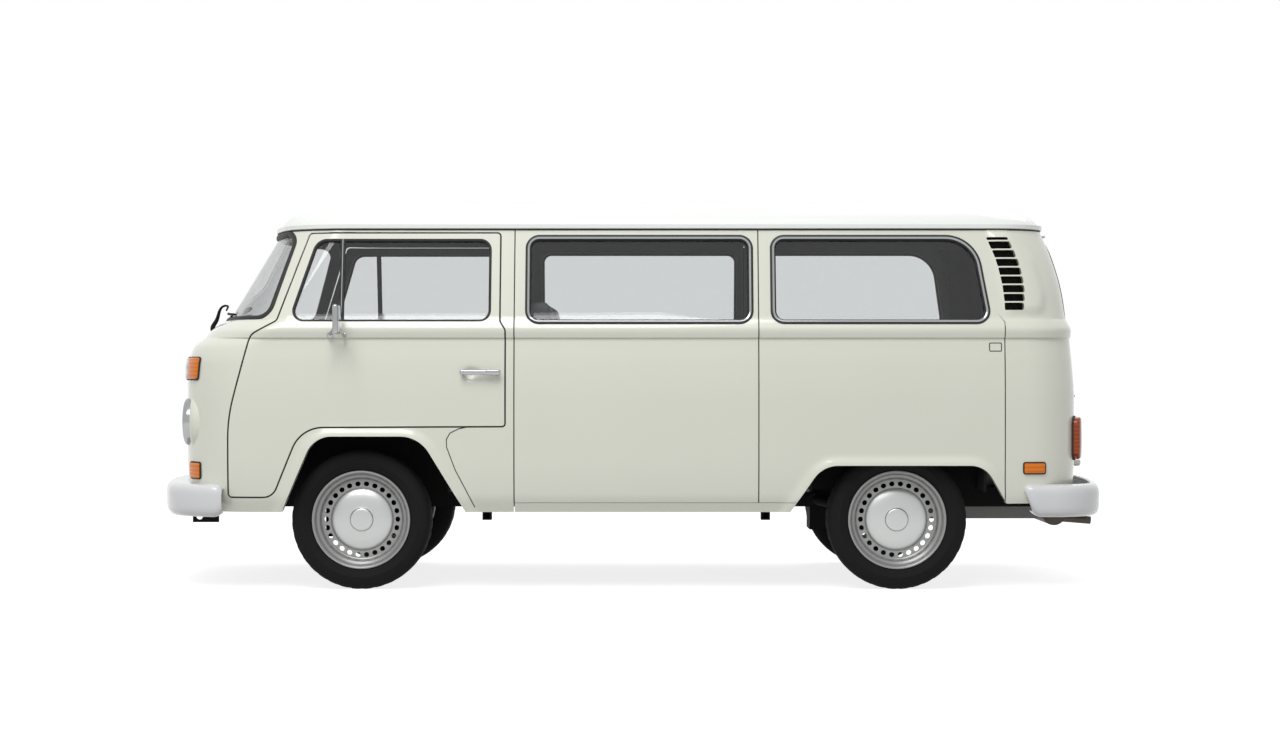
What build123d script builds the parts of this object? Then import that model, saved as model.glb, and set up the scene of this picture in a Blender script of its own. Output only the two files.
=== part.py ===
from build123d import *
import os
from math import sqrt

# Passenger van with a forward cab, a rear engine and a bay windscreen, in millimetres.
# The van stands on its tyres at Z = 0 and faces -X. Its left side is towards -Y.
# The origin is on the ground, half way along and half way across.

os.makedirs("parts", exist_ok=True)

# Driving dimensions: running gear
wheelbase = 2400
front_axle_x = -1204
rear_axle_x = front_axle_x + wheelbase
tyre_radius = 312
tyre_width = 180
front_track = 1390
rear_track = 1400
kingpin_y = 590
rim_radius = 205
cap_radius = 134
cap_boss_radius = 52
vent_circle_radius = 156
vent_hole_radius = 9
vent_hole_count = 24
drum_radius = 120
spindle_radius = 17
spindle_gap = 0.5

# Driving dimensions: body
body_height = 1766
wall = 38
seam_width = 4
door_gap = 6
post_relief = 10
belt_z = 1127
waist_z = 1212
cant_z = 1616
sill_z = 350
side_panel_bottom_z = 393
tail_bottom_z = 389
rear_crown_radius = 4000
rear_corner_radius = 230
glass_depth = 12
glass_thickness = 6
lens_height = 34
marker_height = 12
side_reach = 1000
tail_reach_start = 1700
tail_reach = 500

# Body sections, bottom to top.
# Columns: height, front X, rear X, half width, front crown radius, front corner radius
lower_sections = [
    (sill_z, -2046, 2038, 822, 2500, 320),
    (430, -2069, 2052, 848, 2500, 330),
    (600, -2080, 2062, 859, 2500, 330),
    (850, -2080, 2062, 860, 2500, 330),
    (1010, -2074, 2052, 854, 2500, 330),
    (1085, -2054, 2044, 847, 2400, 330),
    (belt_z, -2008, 2040, 843, 2300, 330),
]
belt_sections = [
    (belt_z, -2003, 2046, 852, 2300, 330),
    (1160, -1979, 2048, 860, 2200, 330),
    (1190, -1943, 2036, 850, 1900, 330),
    (waist_z, -1907, 2022, 838, 1700, 330),
]
cabin_sections = [
    (waist_z, -1907, 2022, 838, 1700, 330),
    (1350, -1824, 1999, 809, 1650, 330),
    (1490, -1740, 1958, 779, 1600, 330),
    (cant_z, -1665, 1905, 752, 1550, 330),
]
# The roof's sections also name the rear corner radius.
roof_sections = [
    (cant_z, -1665, 1905, 752, 1550, 330, 230),
    (1650, -1650, 1890, 744, 1550, 340, 250),
    (1690, -1612, 1852, 708, 1550, 380, 300),
    (1720, -1530, 1765, 640, 1550, 420, 360),
    (1742, -1340, 1560, 530, 1550, 420, 400),
    (1757, -960, 1180, 370, 1500, 330, 330),
    (body_height, -430, 640, 180, 1500, 160, 160),
]
roof_wall = 28
gutter_z = 1620
gutter_reach = 13
gutter_thickness = 5
gutter_lip = 20

# Panel seams along the side
front_seam_x = -515
rear_seam_x = 573
tail_seam_x = 1670
sill_end_x = 760

# Cab door outline, seen from the left: X, Z and corner radius, from the front bottom corner round
cab_door_corners = [
    (-1785, 420, 12),
    (-1785, 768, 700),
    (-1687, 1137, 60),
    (-1571, 1200, 30),
    (-1436, 1594, 14),
    (-582, 1594, 12),
    (-582, 1200, 24),
    (-558, 1160, 24),
    (-558, 735, 10),
    (-1464, 731, 150),
    (-1591, 420, 60),
]
cab_door_rear_x = -582
cab_door_top_z = 1594

# Window outlines: X, Z and corner radius of the hole in the panel
cab_window_corners = [(-1516, 1203, 46), (-1402, 1566, 60), (-623, 1566, 46), (-623, 1203, 46)]
middle_window_corners = [(-453, 1199, 48), (-453, 1575, 48), (537, 1575, 48), (537, 1199, 48)]
rear_window_corners = [(640, 1199, 48), (640, 1575, 48), (1470, 1575, 150), (1608, 1199, 48)]
windscreen_corners = [(-2150, 1218, 0), (-2150, 1602, 0), (-1498, 1602, 46), (-1616, 1218, 80)]
quarter_bar_x = -1285
quarter_bar_width = 22

# The tail's seam: straight up at the tail seam, then forward between the window and the louvres
tail_seam_corners = [
    (tail_seam_x, 300, 0),
    (tail_seam_x, 1195, 0),
    (1640, 1235, 0),
    (1548, 1640, 0),
    (2300, 1640, 0),
    (2300, 300, 0),
]

# Tailgate, its window and the engine lid, seen from behind: Y, Z and corner radius
tailgate_corners = [(-615, 905, 90), (-590, 1596, 110), (590, 1596, 110), (615, 905, 90)]
tail_window_corners = [(-535, 1215, 80), (-510, 1552, 80), (510, 1552, 80), (535, 1215, 80)]
lid_corners = [(-500, 520, 60), (-500, 858, 60), (500, 858, 60), (500, 520, 60)]

# Wheel arches: X, Z and corner radius
front_arch_corners = [(-1572, 300, 0), (-1403, 688, 120), (-936, 688, 150), (-700, 300, 0)]
rear_arch_corners = [(679, 300, 0), (857, 558, 130), (1576, 558, 110), (1728, 300, 0)]

arch_lip_width = 24

# Louvres in the rear upper corner: the stack leans with the window beside it
louvre_count = 9
louvre_bottom_z = 1252
louvre_pitch = 39
louvre_height = 24
louvre_bottom_x = (1680, 1756)
louvre_top_x = (1598, 1700)

# Fresh-air grille in the nose
grille_slots = 4
grille_bottom_z = 1018
grille_pitch = 20
grille_slot_height = 9
grille_half_width = 290

# Lamps, seen from the front or rear: Y range and Z range of one side's lens
front_indicator = (505, 738, 938, 1046)
tail_lamp = (664, 812, 582, 771)
headlamp_y = 600
headlamp_z = 751
headlamp_radius = 88
headlamp_face_x = -2048
headlamp_gap = 0.4
pod_radius = 114
pod_face_x = -2032
pod_chamfer = 9
front_marker = (-1985, -1925, 492, 573)
rear_marker = (1757, 1855, 518, 572)

# Bumpers: height range, reach from the middle, half width, depth of the channel and its sheet
bumper_low_z = 329
bumper_high_z = 475
bumper_reach = 2176
bumper_half_width = 880
bumper_depth = 24
bumper_sheet = 5
bumper_end_x = 1815
bracket_y = 360
bracket_z = 400
bracket_width = 44
bracket_height = 50

# Handle of the tailgate, and the housing of the licence lamp on the lid: X, Y and Z ranges and edge radius
tailgate_handle = (2040, 2078, -55, 55, 924, 948, 8)
licence_housing = (2040, 2140, -95, 95, 526, 558, 12)

# Door furniture
handle_x = -754
slide_handle_x = -480
handle_length = 178
handle_z = 961
handle_height = 26
track_z = 1064
track_height = 30

# Floor, wheelhouses and chassis
floor_z = 440
floor_thickness = 12
well_inner_y = 426
well_thickness = 12
front_well = (-1600, -800, 712)
rear_well = (800, 1590, 712)
rear_well_inner_y = 566
deck_z = 880
deck_front_x = 1196
rail_y = 360
rail_width = 60
rail_low_z = 350
rail_front_x = -1970
rail_rear_x = 1960
cross_member_x = (-700, 150, 820)
jack_point_x = (-640, 607)

# Axles
beam_offset = -150
beam_tube_radius = 30
beam_tube_spread = 60
beam_half_length = 470
arm_radius = 16
ball_height = 92
eye_half_height = 20
arm_end_gap = 4
steering_arm_length = 130
steering_arm_z = 236
rod_radius = 9
eye_radius = 22
eye_height = 20
eye_gap = 0.4


# Door mirrors
mirror_x = -1290
mirror_y = 955
mirror_z = 1205
mirror_low_z = 1143
mirror_half_width = 62
mirror_half_height = 66
mirror_arm_radius = 8

# Headlamps and bumper form
headlamp_depth = 110
headlamp_taper = 12
bumper_round = 14
bumper_crown = 2500
bumper_corner = 300

# Hinges: each is a lug on the body and one on the door, stacked along the axis, with an arm to its panel
hinge_x = -1785
hinge_y = 866
lug_gap = 0.4
door_lug_radius = 9
door_lug_height = 14
door_lug_arm_radius = 5
door_lug_z = (490, 740)
body_arm_end = (-1812, -826)
door_arm_end = (-1758, -838)
tail_lug_radius = 6
tail_lug_width = 12
tail_lug_arm_radius = 4
tailgate_axis = (1920, 1600)
tailgate_lug_y = 340
tailgate_frame_end = (1880, 1610)
tailgate_arm_end = (1890, 1583)
lid_axis = (2066, 861)
lid_lug_y = 300
lid_frame_end = (2040, 874)
lid_arm_end = (2040, 848)

# Interior
door_clear_y = 780
seat_box_front_x = -1010
seat_box_rear_x = -560
seat_box_inner_y = 150
seat_box_outer_y = 700
deck_rear_x = 1975
outrigger_reach = 778
tow_eye_x = -2000
tow_eye_z = 304
tow_eye_radius = 16
dash_rear_x = -1685
dash_half_width = 690
dash_low_z = 930
dash_high_z = 1120
driver_y = 400
column_foot_x = -1760
steering_wheel_x = -1470
steering_wheel_z = 1145
steering_wheel_radius = 190
front_seat_y = 165
front_seat_width = 500
front_cushion_corners = [(-1030, 712.3, 20), (-1030, 830, 50), (-606, 850, 20), (-606, 712.3, 10)]
front_back_corners = [(-600, 712.3, 10), (-560, 1000, 0), (-440, 1310, 40), (-340, 1322, 30),
                      (-470, 900, 0), (-480, 712.3, 10)]
middle_bench_y = (-690, 430)
middle_cushion_corners = [(-140, 700.3, 20), (-140, 800, 45), (316, 815, 15), (316, 700.3, 15)]
middle_back_corners = [(306, 730, 20), (372, 1180, 35), (462, 1180, 35), (420, 730, 20)]
rear_bench_half_width = 560
rear_cushion_corners = [(620, 712.3, 20), (620, 805, 45), (1076, 820, 15), (1076, 712.3, 15)]
rear_back_corners = [(1066, 740, 20), (1104, 1180, 35), (1192, 1180, 35), (1192, 740, 20)]

# Rear axle, engine and exhaust
gearbox_x = (850, 1330)
gearbox_half_width = 110
gearbox_z = (225, 420)
arm_pivot_x = 850
arm_pivot_z = 385
engine_rear_x = 1925
engine_half_width = 310
engine_z = (290, 700)
silencer_radius = 56
silencer_half_length = 280
silencer_z = 312

# Wheel hubs: distances from the wheel's centre plane
plate_offset = 83
plate_thickness = 5
plate_radius = 112
spindle_reach = 12
wheel_back = 76
cap_base = 28

# Rim profile: radius and distance outboard of the wheel's centre plane
rim_profile = [
    (spindle_radius, 10),
    (spindle_radius, 26),
    (140, 30),
    (172, 26),
    (183, 34),
    (187, 48),
    (199, 54),
    (204, 70),
    (214, 78),
    (rim_radius + 15, 76),
    (rim_radius + 6, 66),
    (rim_radius, 50),
    (192, 40),
    (192, -40),
    (rim_radius, -50),
    (rim_radius + 6, -66),
    (rim_radius + 15, -76),
    (214, -78),
    (204, -66),
    (198, -52),
    (186, -44),
    (186, 18),
    (172, 17),
    (140, 20),
    (60, 18),
    (60, 10),
]

# Wipers
wiper_pivot_y = (-130, 390)
wiper_length = 440
wiper_z = 1236
wiper_lift = 4


def plan_outline(z, front, rear, half, crown, corner, rear_corner, inset=0.0):
    """Horizontal outline of the body at height z, with crowned ends and round corners."""
    front, rear, half = front + inset, rear - inset, half - inset
    crown, corner, rear_corner = crown - inset, corner - inset, rear_corner - inset
    rear_crown = rear_crown_radius - inset
    front_side = front + crown - sqrt(crown**2 - half**2)
    rear_side = rear - rear_crown + sqrt(rear_crown**2 - half**2)
    with BuildSketch(Plane.XY.offset(z)) as outline:
        with BuildLine():
            ThreePointArc((front_side, half), (front, 0), (front_side, -half))
            Line((front_side, -half), (rear_side, -half))
            ThreePointArc((rear_side, -half), (rear, 0), (rear_side, half))
            Line((rear_side, half), (front_side, half))
        make_face()
        fillet(outline.vertices().group_by(Axis.X)[0], corner)
        fillet(outline.vertices().group_by(Axis.X)[-1], rear_corner)
    return outline.sketch


def stack(sections, inset=0.0, drop=0.0, ruled=False):
    """Solid lofted through the plan outlines of a table of sections."""
    with BuildPart() as body:
        for index, row in enumerate(sections):
            z, front, rear, half, crown, corner = row[:6]
            rear_corner = row[6] if len(row) > 6 else rear_corner_radius
            level = z if index == 0 else z - drop
            add(plan_outline(level, front, rear, half, crown, corner, rear_corner, inset))
        loft(ruled=ruled)
    return body.part


def body_core(inset):
    """The whole body below the roof, drawn in by inset all round."""
    with BuildPart() as core:
        add(stack(lower_sections, inset))
        add(stack(belt_sections, inset))
        add(stack(cabin_sections, inset))
    return core.part


def outline_sketch(corners, plane=Plane.XZ, grow=0.0):
    """Closed outline of straight runs, its corners rounded by the radii in the table."""
    with BuildSketch(plane) as outline:
        with BuildLine():
            Polyline(*[(a, b) for a, b, radius in corners], close=True)
        make_face()
        for a, b, radius in corners:
            if radius:
                fillet(outline.vertices().sort_by_distance((a, b, 0))[0], radius)
        if grow:
            offset(amount=grow)
    return outline.sketch


def side_prism(corners, grow=0.0):
    """Side-view outline run out across the whole body."""
    with BuildPart() as prism:
        extrude(outline_sketch(corners, Plane.XZ.offset(-side_reach), grow), amount=2 * side_reach)
    return prism.part


def tail_prism(corners, grow=0.0):
    """Rear-view outline run out through the tail of the body."""
    with BuildPart() as prism:
        extrude(outline_sketch(corners, Plane.YZ.offset(tail_reach_start), grow), amount=tail_reach)
    return prism.part


def block(x1, x2, y1, y2, z1, z2, radius=0.0):
    """Block between two corners, with all its edges rounded where a radius is given."""
    with BuildPart() as solid:
        with Locations(((x1 + x2) / 2, (y1 + y2) / 2, (z1 + z2) / 2)):
            Box(x2 - x1, y2 - y1, z2 - z1)
        if radius:
            fillet(solid.edges(), radius)
    return solid.part


def seam(x, low=300, high=1700):
    """Seam strip across the whole body at X = x."""
    return block(x - seam_width / 2, x + seam_width / 2, -side_reach, side_reach, low, high)


def rod(start, end, radius):
    """Round bar between two points."""
    path = Vector(*end) - Vector(*start)
    with BuildPart() as bar:
        with BuildSketch(Plane(origin=start, z_dir=path)):
            Circle(radius)
        extrude(amount=path.length)
    return bar.part


def screen_x(y, z, lift):
    """X of the windscreen's face at y and z, stood off the body surface by lift."""
    low, high = cabin_sections[0], cabin_sections[1]
    share = (z - low[0]) / (high[0] - low[0])
    front = low[1] + share * (high[1] - low[1])
    crown = low[4] + share * (high[4] - low[4])
    return front - lift + crown - sqrt(crown**2 - y**2)


def finish(part, name):
    """Label a finished piece and write it."""
    part.label = name
    export_step(part, f"parts/{name}.step")


def door_lugs(rise, arm_end):
    """Both hinge lugs of the left cab door on one panel, raised by rise, with arms to that panel."""
    with BuildPart() as lugs:
        for low in door_lug_z:
            z = low + rise
            middle = z + door_lug_height / 2
            add(rod((hinge_x, -hinge_y, z), (hinge_x, -hinge_y, z + door_lug_height), door_lug_radius))
            add(rod((hinge_x, -hinge_y, middle), (*arm_end, middle), door_lug_arm_radius))
    return lugs.part


def tail_lugs(axis, y, arm_end):
    """Hinge lugs on an axis across the tail, on both sides, with arms to their panel."""
    with BuildPart() as lugs:
        middle = y + tail_lug_width / 2
        add(rod((axis[0], y, axis[1]), (axis[0], y + tail_lug_width, axis[1]), tail_lug_radius))
        add(rod((axis[0], middle, axis[1]), (arm_end[0], middle, arm_end[1]), tail_lug_arm_radius))
        mirror(lugs.part, about=Plane.XZ)
    return lugs.part


def bumper_outline(inset, z):
    """Plan outline of both bumpers, drawn in by inset."""
    return plan_outline(
        z, -bumper_reach, bumper_reach, bumper_half_width, bumper_crown, bumper_corner, rear_corner_radius, inset
    )


def channel_bumper(side):
    """Pressed bumper across one end, open to the back: side is -1 at the front and +1 at the rear."""
    height = bumper_high_z - bumper_low_z
    rows = (
        (bumper_round, bumper_low_z),
        (0, bumper_low_z + bumper_round),
        (0, bumper_high_z - bumper_round),
        (bumper_round, bumper_high_z),
    )
    with BuildPart() as bumper:
        for inset, z in rows:
            add(bumper_outline(inset, z))
        loft(ruled=True)
        extrude(bumper_outline(bumper_depth, bumper_low_z), amount=height, mode=Mode.SUBTRACT)
        extrude(
            bumper_outline(bumper_round + bumper_sheet, bumper_low_z + bumper_sheet),
            amount=height - 2 * bumper_sheet, mode=Mode.SUBTRACT,
        )
        x1, x2 = sorted((side * bumper_end_x, -side * (bumper_reach + 200)))
        add(block(x1, x2, -side_reach, side_reach, 200, 600), mode=Mode.SUBTRACT)
    return bumper.part


def mirrored(part):
    """The same piece on the other side of the van."""
    with BuildPart() as other:
        mirror(part, about=Plane.XZ)
    return other.part


def both_sides(part):
    """A piece and its mirror image, in one node."""
    with BuildPart() as pair:
        add(part)
        mirror(part, about=Plane.XZ)
    return pair.part


# Body cores at the depths that the panels, glass, seams and lenses need
outer_core = body_core(0)
glass_core = body_core(glass_depth)
louvre_core = body_core(glass_depth + glass_thickness)
inner_core = body_core(wall)
lower_core = stack(lower_sections)
with BuildPart() as body_shell:
    add(outer_core)
    add(inner_core, mode=Mode.SUBTRACT)
with BuildPart() as seam_skin:
    add(outer_core)
    add(glass_core, mode=Mode.SUBTRACT)
with BuildPart() as louvre_skin:
    add(outer_core)
    add(louvre_core, mode=Mode.SUBTRACT)
with BuildPart() as glass_skin:
    add(glass_core)
    add(louvre_core, mode=Mode.SUBTRACT)
with BuildPart() as lens_skin:
    add(stack(lower_sections, -lens_height))
    add(lower_core, mode=Mode.SUBTRACT)
with BuildPart() as marker_skin:
    add(stack(lower_sections, -marker_height))
    add(lower_core, mode=Mode.SUBTRACT)

# Lips rolled round the wheel arches, and the round cowls that the headlamps sit in
with BuildPart() as front_lip:
    add(marker_skin.part)
    add(side_prism(front_arch_corners, arch_lip_width), mode=Mode.INTERSECT)
    add(side_prism(front_arch_corners), mode=Mode.SUBTRACT)
with BuildPart() as rear_lip:
    add(marker_skin.part)
    add(side_prism(rear_arch_corners, arch_lip_width), mode=Mode.INTERSECT)
    add(side_prism(rear_arch_corners), mode=Mode.SUBTRACT)
    add(block(rear_seam_x, tail_seam_x - seam_width, -side_reach, 0, side_panel_bottom_z, waist_z),
        mode=Mode.INTERSECT)
headlamp_plane = Plane(origin=(headlamp_face_x, -headlamp_y, headlamp_z), z_dir=(1, 0, 0))
with BuildPart() as headlamp_cowl:
    with BuildSketch(Plane(origin=(pod_face_x, -headlamp_y, headlamp_z), z_dir=(1, 0, 0))):
        Circle(pod_radius)
    extrude(amount=headlamp_depth, taper=-headlamp_taper)
    chamfer(headlamp_cowl.edges().group_by(Axis.X)[0], pod_chamfer)
    with BuildSketch(headlamp_plane):
        Circle(headlamp_radius + headlamp_gap)
    extrude(amount=headlamp_depth + pod_radius, taper=-headlamp_taper, mode=Mode.SUBTRACT)
    add(outer_core, mode=Mode.SUBTRACT)

# Front body: nose, windscreen surround, door posts and the panels round the front wheels
bracket_slots = [
    block(
        -2150, -1900, side * bracket_y - bracket_width / 2, side * bracket_y + bracket_width / 2,
        bracket_z - bracket_height / 2, bracket_z + bracket_height / 2,
    )
    for side in (-1, 1)
]
with BuildPart() as front_body:
    add(body_shell.part)
    split(bisect_by=Plane.YZ.offset(front_seam_x), keep=Keep.BOTTOM)
    add(side_prism(cab_door_corners, door_gap), mode=Mode.SUBTRACT)
    add(
        block(cab_door_rear_x, cab_door_rear_x + post_relief, -side_reach, side_reach, waist_z, cab_door_top_z),
        mode=Mode.SUBTRACT,
    )
    add(side_prism(front_arch_corners), mode=Mode.SUBTRACT)
    add(side_prism(windscreen_corners), mode=Mode.SUBTRACT)
    for row in range(grille_slots):
        slot_z = grille_bottom_z + row * grille_pitch
        add(
            block(-2150, -1950, -grille_half_width, grille_half_width, slot_z, slot_z + grille_slot_height),
            mode=Mode.SUBTRACT,
        )
    for slot in bracket_slots:
        add(slot, mode=Mode.SUBTRACT)
    left_lugs = door_lugs(0, body_arm_end)
    add(left_lugs)
    mirror(left_lugs, about=Plane.XZ)
    add(front_lip.part)
    add(headlamp_cowl.part)
    mirror(headlamp_cowl.part, about=Plane.XZ)
finish(front_body.part, "front_body")

# Seam grooves across both sides, for the panels that meet there
with BuildPart() as front_groove:
    add(seam_skin.part)
    add(seam(front_seam_x, side_panel_bottom_z), mode=Mode.INTERSECT)
with BuildPart() as rear_groove:
    add(seam_skin.part)
    add(seam(rear_seam_x, side_panel_bottom_z), mode=Mode.INTERSECT)
with BuildPart() as tail_groove:
    add(seam_skin.part)
    add(seam(tail_seam_x, side_panel_bottom_z, waist_z), mode=Mode.INTERSECT)

# Middle side panel on the left, with its window
with BuildPart() as side_panel_left:
    add(body_shell.part)
    add(block(front_seam_x, rear_seam_x, -side_reach, 0, side_panel_bottom_z, cant_z), mode=Mode.INTERSECT)
    add(side_prism(middle_window_corners), mode=Mode.SUBTRACT)
    add(front_groove.part, mode=Mode.SUBTRACT)
    add(rear_groove.part, mode=Mode.SUBTRACT)
finish(side_panel_left.part, "side_panel_left")

# Sliding door on the right, shut, with its pull handle
slide_handle = block(
    slide_handle_x, slide_handle_x + handle_length, 850, 890, handle_z, handle_z + handle_height, 8
)
with BuildPart() as sliding_door:
    mirror(side_panel_left.part, about=Plane.XZ)
    add(slide_handle)
finish(sliding_door.part, "sliding_door")

# Rear side panels, with the rear windows and wheel arches
with BuildPart() as rear_side_left:
    add(body_shell.part)
    add(block(rear_seam_x, tail_seam_x, -side_reach, 0, side_panel_bottom_z, cant_z), mode=Mode.INTERSECT)
    add(side_prism(tail_seam_corners), mode=Mode.SUBTRACT)
    add(side_prism(rear_window_corners), mode=Mode.SUBTRACT)
    add(side_prism(rear_arch_corners), mode=Mode.SUBTRACT)
    add(rear_groove.part, mode=Mode.SUBTRACT)
    add(tail_groove.part, mode=Mode.SUBTRACT)
    add(rear_lip.part)
finish(rear_side_left.part, "rear_side_left")

# The right one carries the sliding door's outside track
with BuildPart() as rear_side_right:
    mirror(rear_side_left.part, about=Plane.XZ)
    add(block(rear_seam_x + 10, tail_seam_x - 40, 838, 866, track_z, track_z + track_height))
    add(block(rear_seam_x + 10, tail_seam_x - 40, 852, 867, track_z + 8, track_z + track_height - 8),
        mode=Mode.SUBTRACT)
finish(rear_side_right.part, "rear_side_right")

# Tail body, with the openings for the tailgate and engine lid and the louvres
louvre_slots = []
for index in range(louvre_count):
    share = index / (louvre_count - 1)
    x1 = louvre_bottom_x[0] + share * (louvre_top_x[0] - louvre_bottom_x[0])
    x2 = louvre_bottom_x[1] + share * (louvre_top_x[1] - louvre_bottom_x[1])
    z = louvre_bottom_z + index * louvre_pitch
    louvre_slots.append(block(x1, x2, -side_reach, side_reach, z, z + louvre_height))
with BuildPart() as louvre_cut:
    add(louvre_slots)
    add(louvre_skin.part, mode=Mode.INTERSECT)
with BuildPart() as tail_body:
    add(body_shell.part)
    add(side_prism(tail_seam_corners), mode=Mode.INTERSECT)
    add(block(1500, 2300, -side_reach, side_reach, tail_bottom_z, cant_z), mode=Mode.INTERSECT)
    add(tail_prism(tailgate_corners, door_gap), mode=Mode.SUBTRACT)
    add(tail_prism(lid_corners, door_gap), mode=Mode.SUBTRACT)
    add(side_prism(rear_arch_corners), mode=Mode.SUBTRACT)
    add(tail_groove.part, mode=Mode.SUBTRACT)
    add(louvre_cut.part, mode=Mode.SUBTRACT)
    for slot in bracket_slots:
        mirror(slot, about=Plane.YZ, mode=Mode.SUBTRACT)
    add(tail_lugs(tailgate_axis, tailgate_lug_y, tailgate_frame_end))
    add(tail_lugs(lid_axis, lid_lug_y, lid_frame_end))
finish(tail_body.part, "tail_body")

# Sills below the side panels
with BuildPart() as sills:
    add(body_shell.part)
    add(block(front_seam_x, sill_end_x, -side_reach, side_reach, sill_z, side_panel_bottom_z),
        mode=Mode.INTERSECT)
    add(side_prism(rear_arch_corners), mode=Mode.SUBTRACT)
finish(sills.part, "sills")

# Roof panel with its drip rail all round
cant_row = roof_sections[0]
with BuildPart() as roof_panel:
    add(stack(roof_sections, ruled=True))
    extrude(plan_outline(gutter_z, *cant_row[1:], inset=-gutter_reach), amount=gutter_thickness)
    with BuildPart(mode=Mode.PRIVATE) as lip:
        extrude(plan_outline(gutter_z, *cant_row[1:], inset=-gutter_reach), amount=gutter_lip)
        extrude(
            plan_outline(gutter_z, *cant_row[1:], inset=gutter_thickness - gutter_reach),
            amount=gutter_lip, mode=Mode.SUBTRACT,
        )
    add(lip.part)
    add(stack(roof_sections, roof_wall, roof_wall, ruled=True), mode=Mode.SUBTRACT)
finish(roof_panel.part, "roof_panel")

# Fixed glass
with BuildPart() as windscreen:
    add(glass_skin.part)
    add(side_prism(windscreen_corners), mode=Mode.INTERSECT)
finish(windscreen.part, "windscreen")
with BuildPart() as side_glass:
    add(glass_skin.part)
    with BuildPart(mode=Mode.PRIVATE) as panes:
        add(side_prism(middle_window_corners))
        add(side_prism(rear_window_corners))
    add(panes.part, mode=Mode.INTERSECT)
finish(side_glass.part, "side_glass")

# Cab doors, each with its window and quarter-light bar
with BuildPart() as left_half:
    add(body_shell.part)
    add(block(-2300, front_seam_x, -side_reach, 0, sill_z, cant_z), mode=Mode.INTERSECT)
with BuildPart() as cab_door_left:
    add(left_half.part)
    add(side_prism(cab_door_corners), mode=Mode.INTERSECT)
    add(side_prism(cab_window_corners), mode=Mode.SUBTRACT)
with BuildPart() as quarter_bar:
    add(left_half.part)
    add(
        block(quarter_bar_x - quarter_bar_width / 2, quarter_bar_x + quarter_bar_width / 2,
              -side_reach, 0, cab_window_corners[0][1] - 1, cab_window_corners[1][1] + 1),
        mode=Mode.INTERSECT,
    )
with BuildPart() as cab_door_left_whole:
    add(cab_door_left.part)
    add(quarter_bar.part)
    add(door_lugs(door_lug_height + lug_gap, door_arm_end))
finish(cab_door_left_whole.part, "cab_door_left")
with BuildPart() as cab_glass_left:
    add(glass_skin.part)
    add(block(-2300, front_seam_x, -side_reach, 0, sill_z, cant_z), mode=Mode.INTERSECT)
    add(side_prism(cab_window_corners), mode=Mode.INTERSECT)
    add(quarter_bar.part, mode=Mode.SUBTRACT)
finish(cab_glass_left.part, "cab_glass_left")
finish(mirrored(cab_door_left_whole.part), "cab_door_right")
finish(mirrored(cab_glass_left.part), "cab_glass_right")

# Door furniture: a pull handle at the waist and a mirror on a bent arm
with BuildPart() as door_fittings_left:
    add(block(handle_x, handle_x + handle_length, -892, -878, handle_z, handle_z + handle_height, 5))
    for x in (handle_x + 2, handle_x + handle_length - 20):
        add(block(x, x + 18, -884, -852, handle_z + 4, handle_z + handle_height - 4))
    add(rod((mirror_x - 30, -846, mirror_low_z), (mirror_x, -mirror_y, mirror_low_z + 20), mirror_arm_radius))
    add(rod((mirror_x, -mirror_y, mirror_low_z + 20), (mirror_x, -mirror_y, mirror_z), mirror_arm_radius))
    add(block(mirror_x - 14, mirror_x + 14, -mirror_y - mirror_half_width, -mirror_y + mirror_half_width,
              mirror_z - mirror_half_height, mirror_z + mirror_half_height, 12))
with BuildPart() as door_fittings_seated:
    add(door_fittings_left.part)
    add(outer_core, mode=Mode.SUBTRACT)
finish(door_fittings_seated.part, "door_fittings_left")
finish(mirrored(door_fittings_seated.part), "door_fittings_right")

# Tailgate with its glass, and the engine lid
with BuildPart() as tailgate:
    add(body_shell.part)
    add(tail_prism(tailgate_corners), mode=Mode.INTERSECT)
    add(tail_prism(tail_window_corners), mode=Mode.SUBTRACT)
    add(tail_lugs(tailgate_axis, tailgate_lug_y + tail_lug_width + lug_gap, tailgate_arm_end))
    add(block(*tailgate_handle))
finish(tailgate.part, "tailgate")
with BuildPart() as tailgate_glass:
    add(glass_skin.part)
    add(tail_prism(tail_window_corners), mode=Mode.INTERSECT)
finish(tailgate_glass.part, "tailgate_glass")
with BuildPart() as engine_lid:
    add(body_shell.part)
    add(tail_prism(lid_corners), mode=Mode.INTERSECT)
    add(tail_lugs(lid_axis, lid_lug_y + tail_lug_width + lug_gap, lid_arm_end))
    add(block(*licence_housing))
finish(engine_lid.part, "engine_lid")

# Lamps: lenses that stand proud of the panel behind them
with BuildPart() as front_lens:
    add(marker_skin.part)
    add(block(-2300, -1800, -front_indicator[1], -front_indicator[0], *front_indicator[2:]),
        mode=Mode.INTERSECT)
with BuildPart() as front_side_lens:
    add(marker_skin.part)
    add(block(*front_marker[:2], -side_reach, -600, *front_marker[2:]), mode=Mode.INTERSECT)
with BuildPart() as rear_side_lens:
    add(marker_skin.part)
    add(block(*rear_marker[:2], -side_reach, -600, *rear_marker[2:]), mode=Mode.INTERSECT)
with BuildPart() as amber_left:
    add(front_lens.part)
    add(front_side_lens.part)
    add(rear_side_lens.part)
finish(both_sides(amber_left.part), "amber_lamps")
with BuildPart() as tail_lens:
    add(lens_skin.part)
    add(block(1800, 2300, -tail_lamp[1], -tail_lamp[0], *tail_lamp[2:]), mode=Mode.INTERSECT)
finish(both_sides(tail_lens.part), "tail_lamps")
with BuildPart() as headlamp:
    with BuildSketch(headlamp_plane):
        Circle(headlamp_radius)
    extrude(amount=headlamp_depth, taper=-headlamp_taper)
    add(outer_core, mode=Mode.SUBTRACT)
finish(both_sides(headlamp.part), "headlamps")

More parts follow.
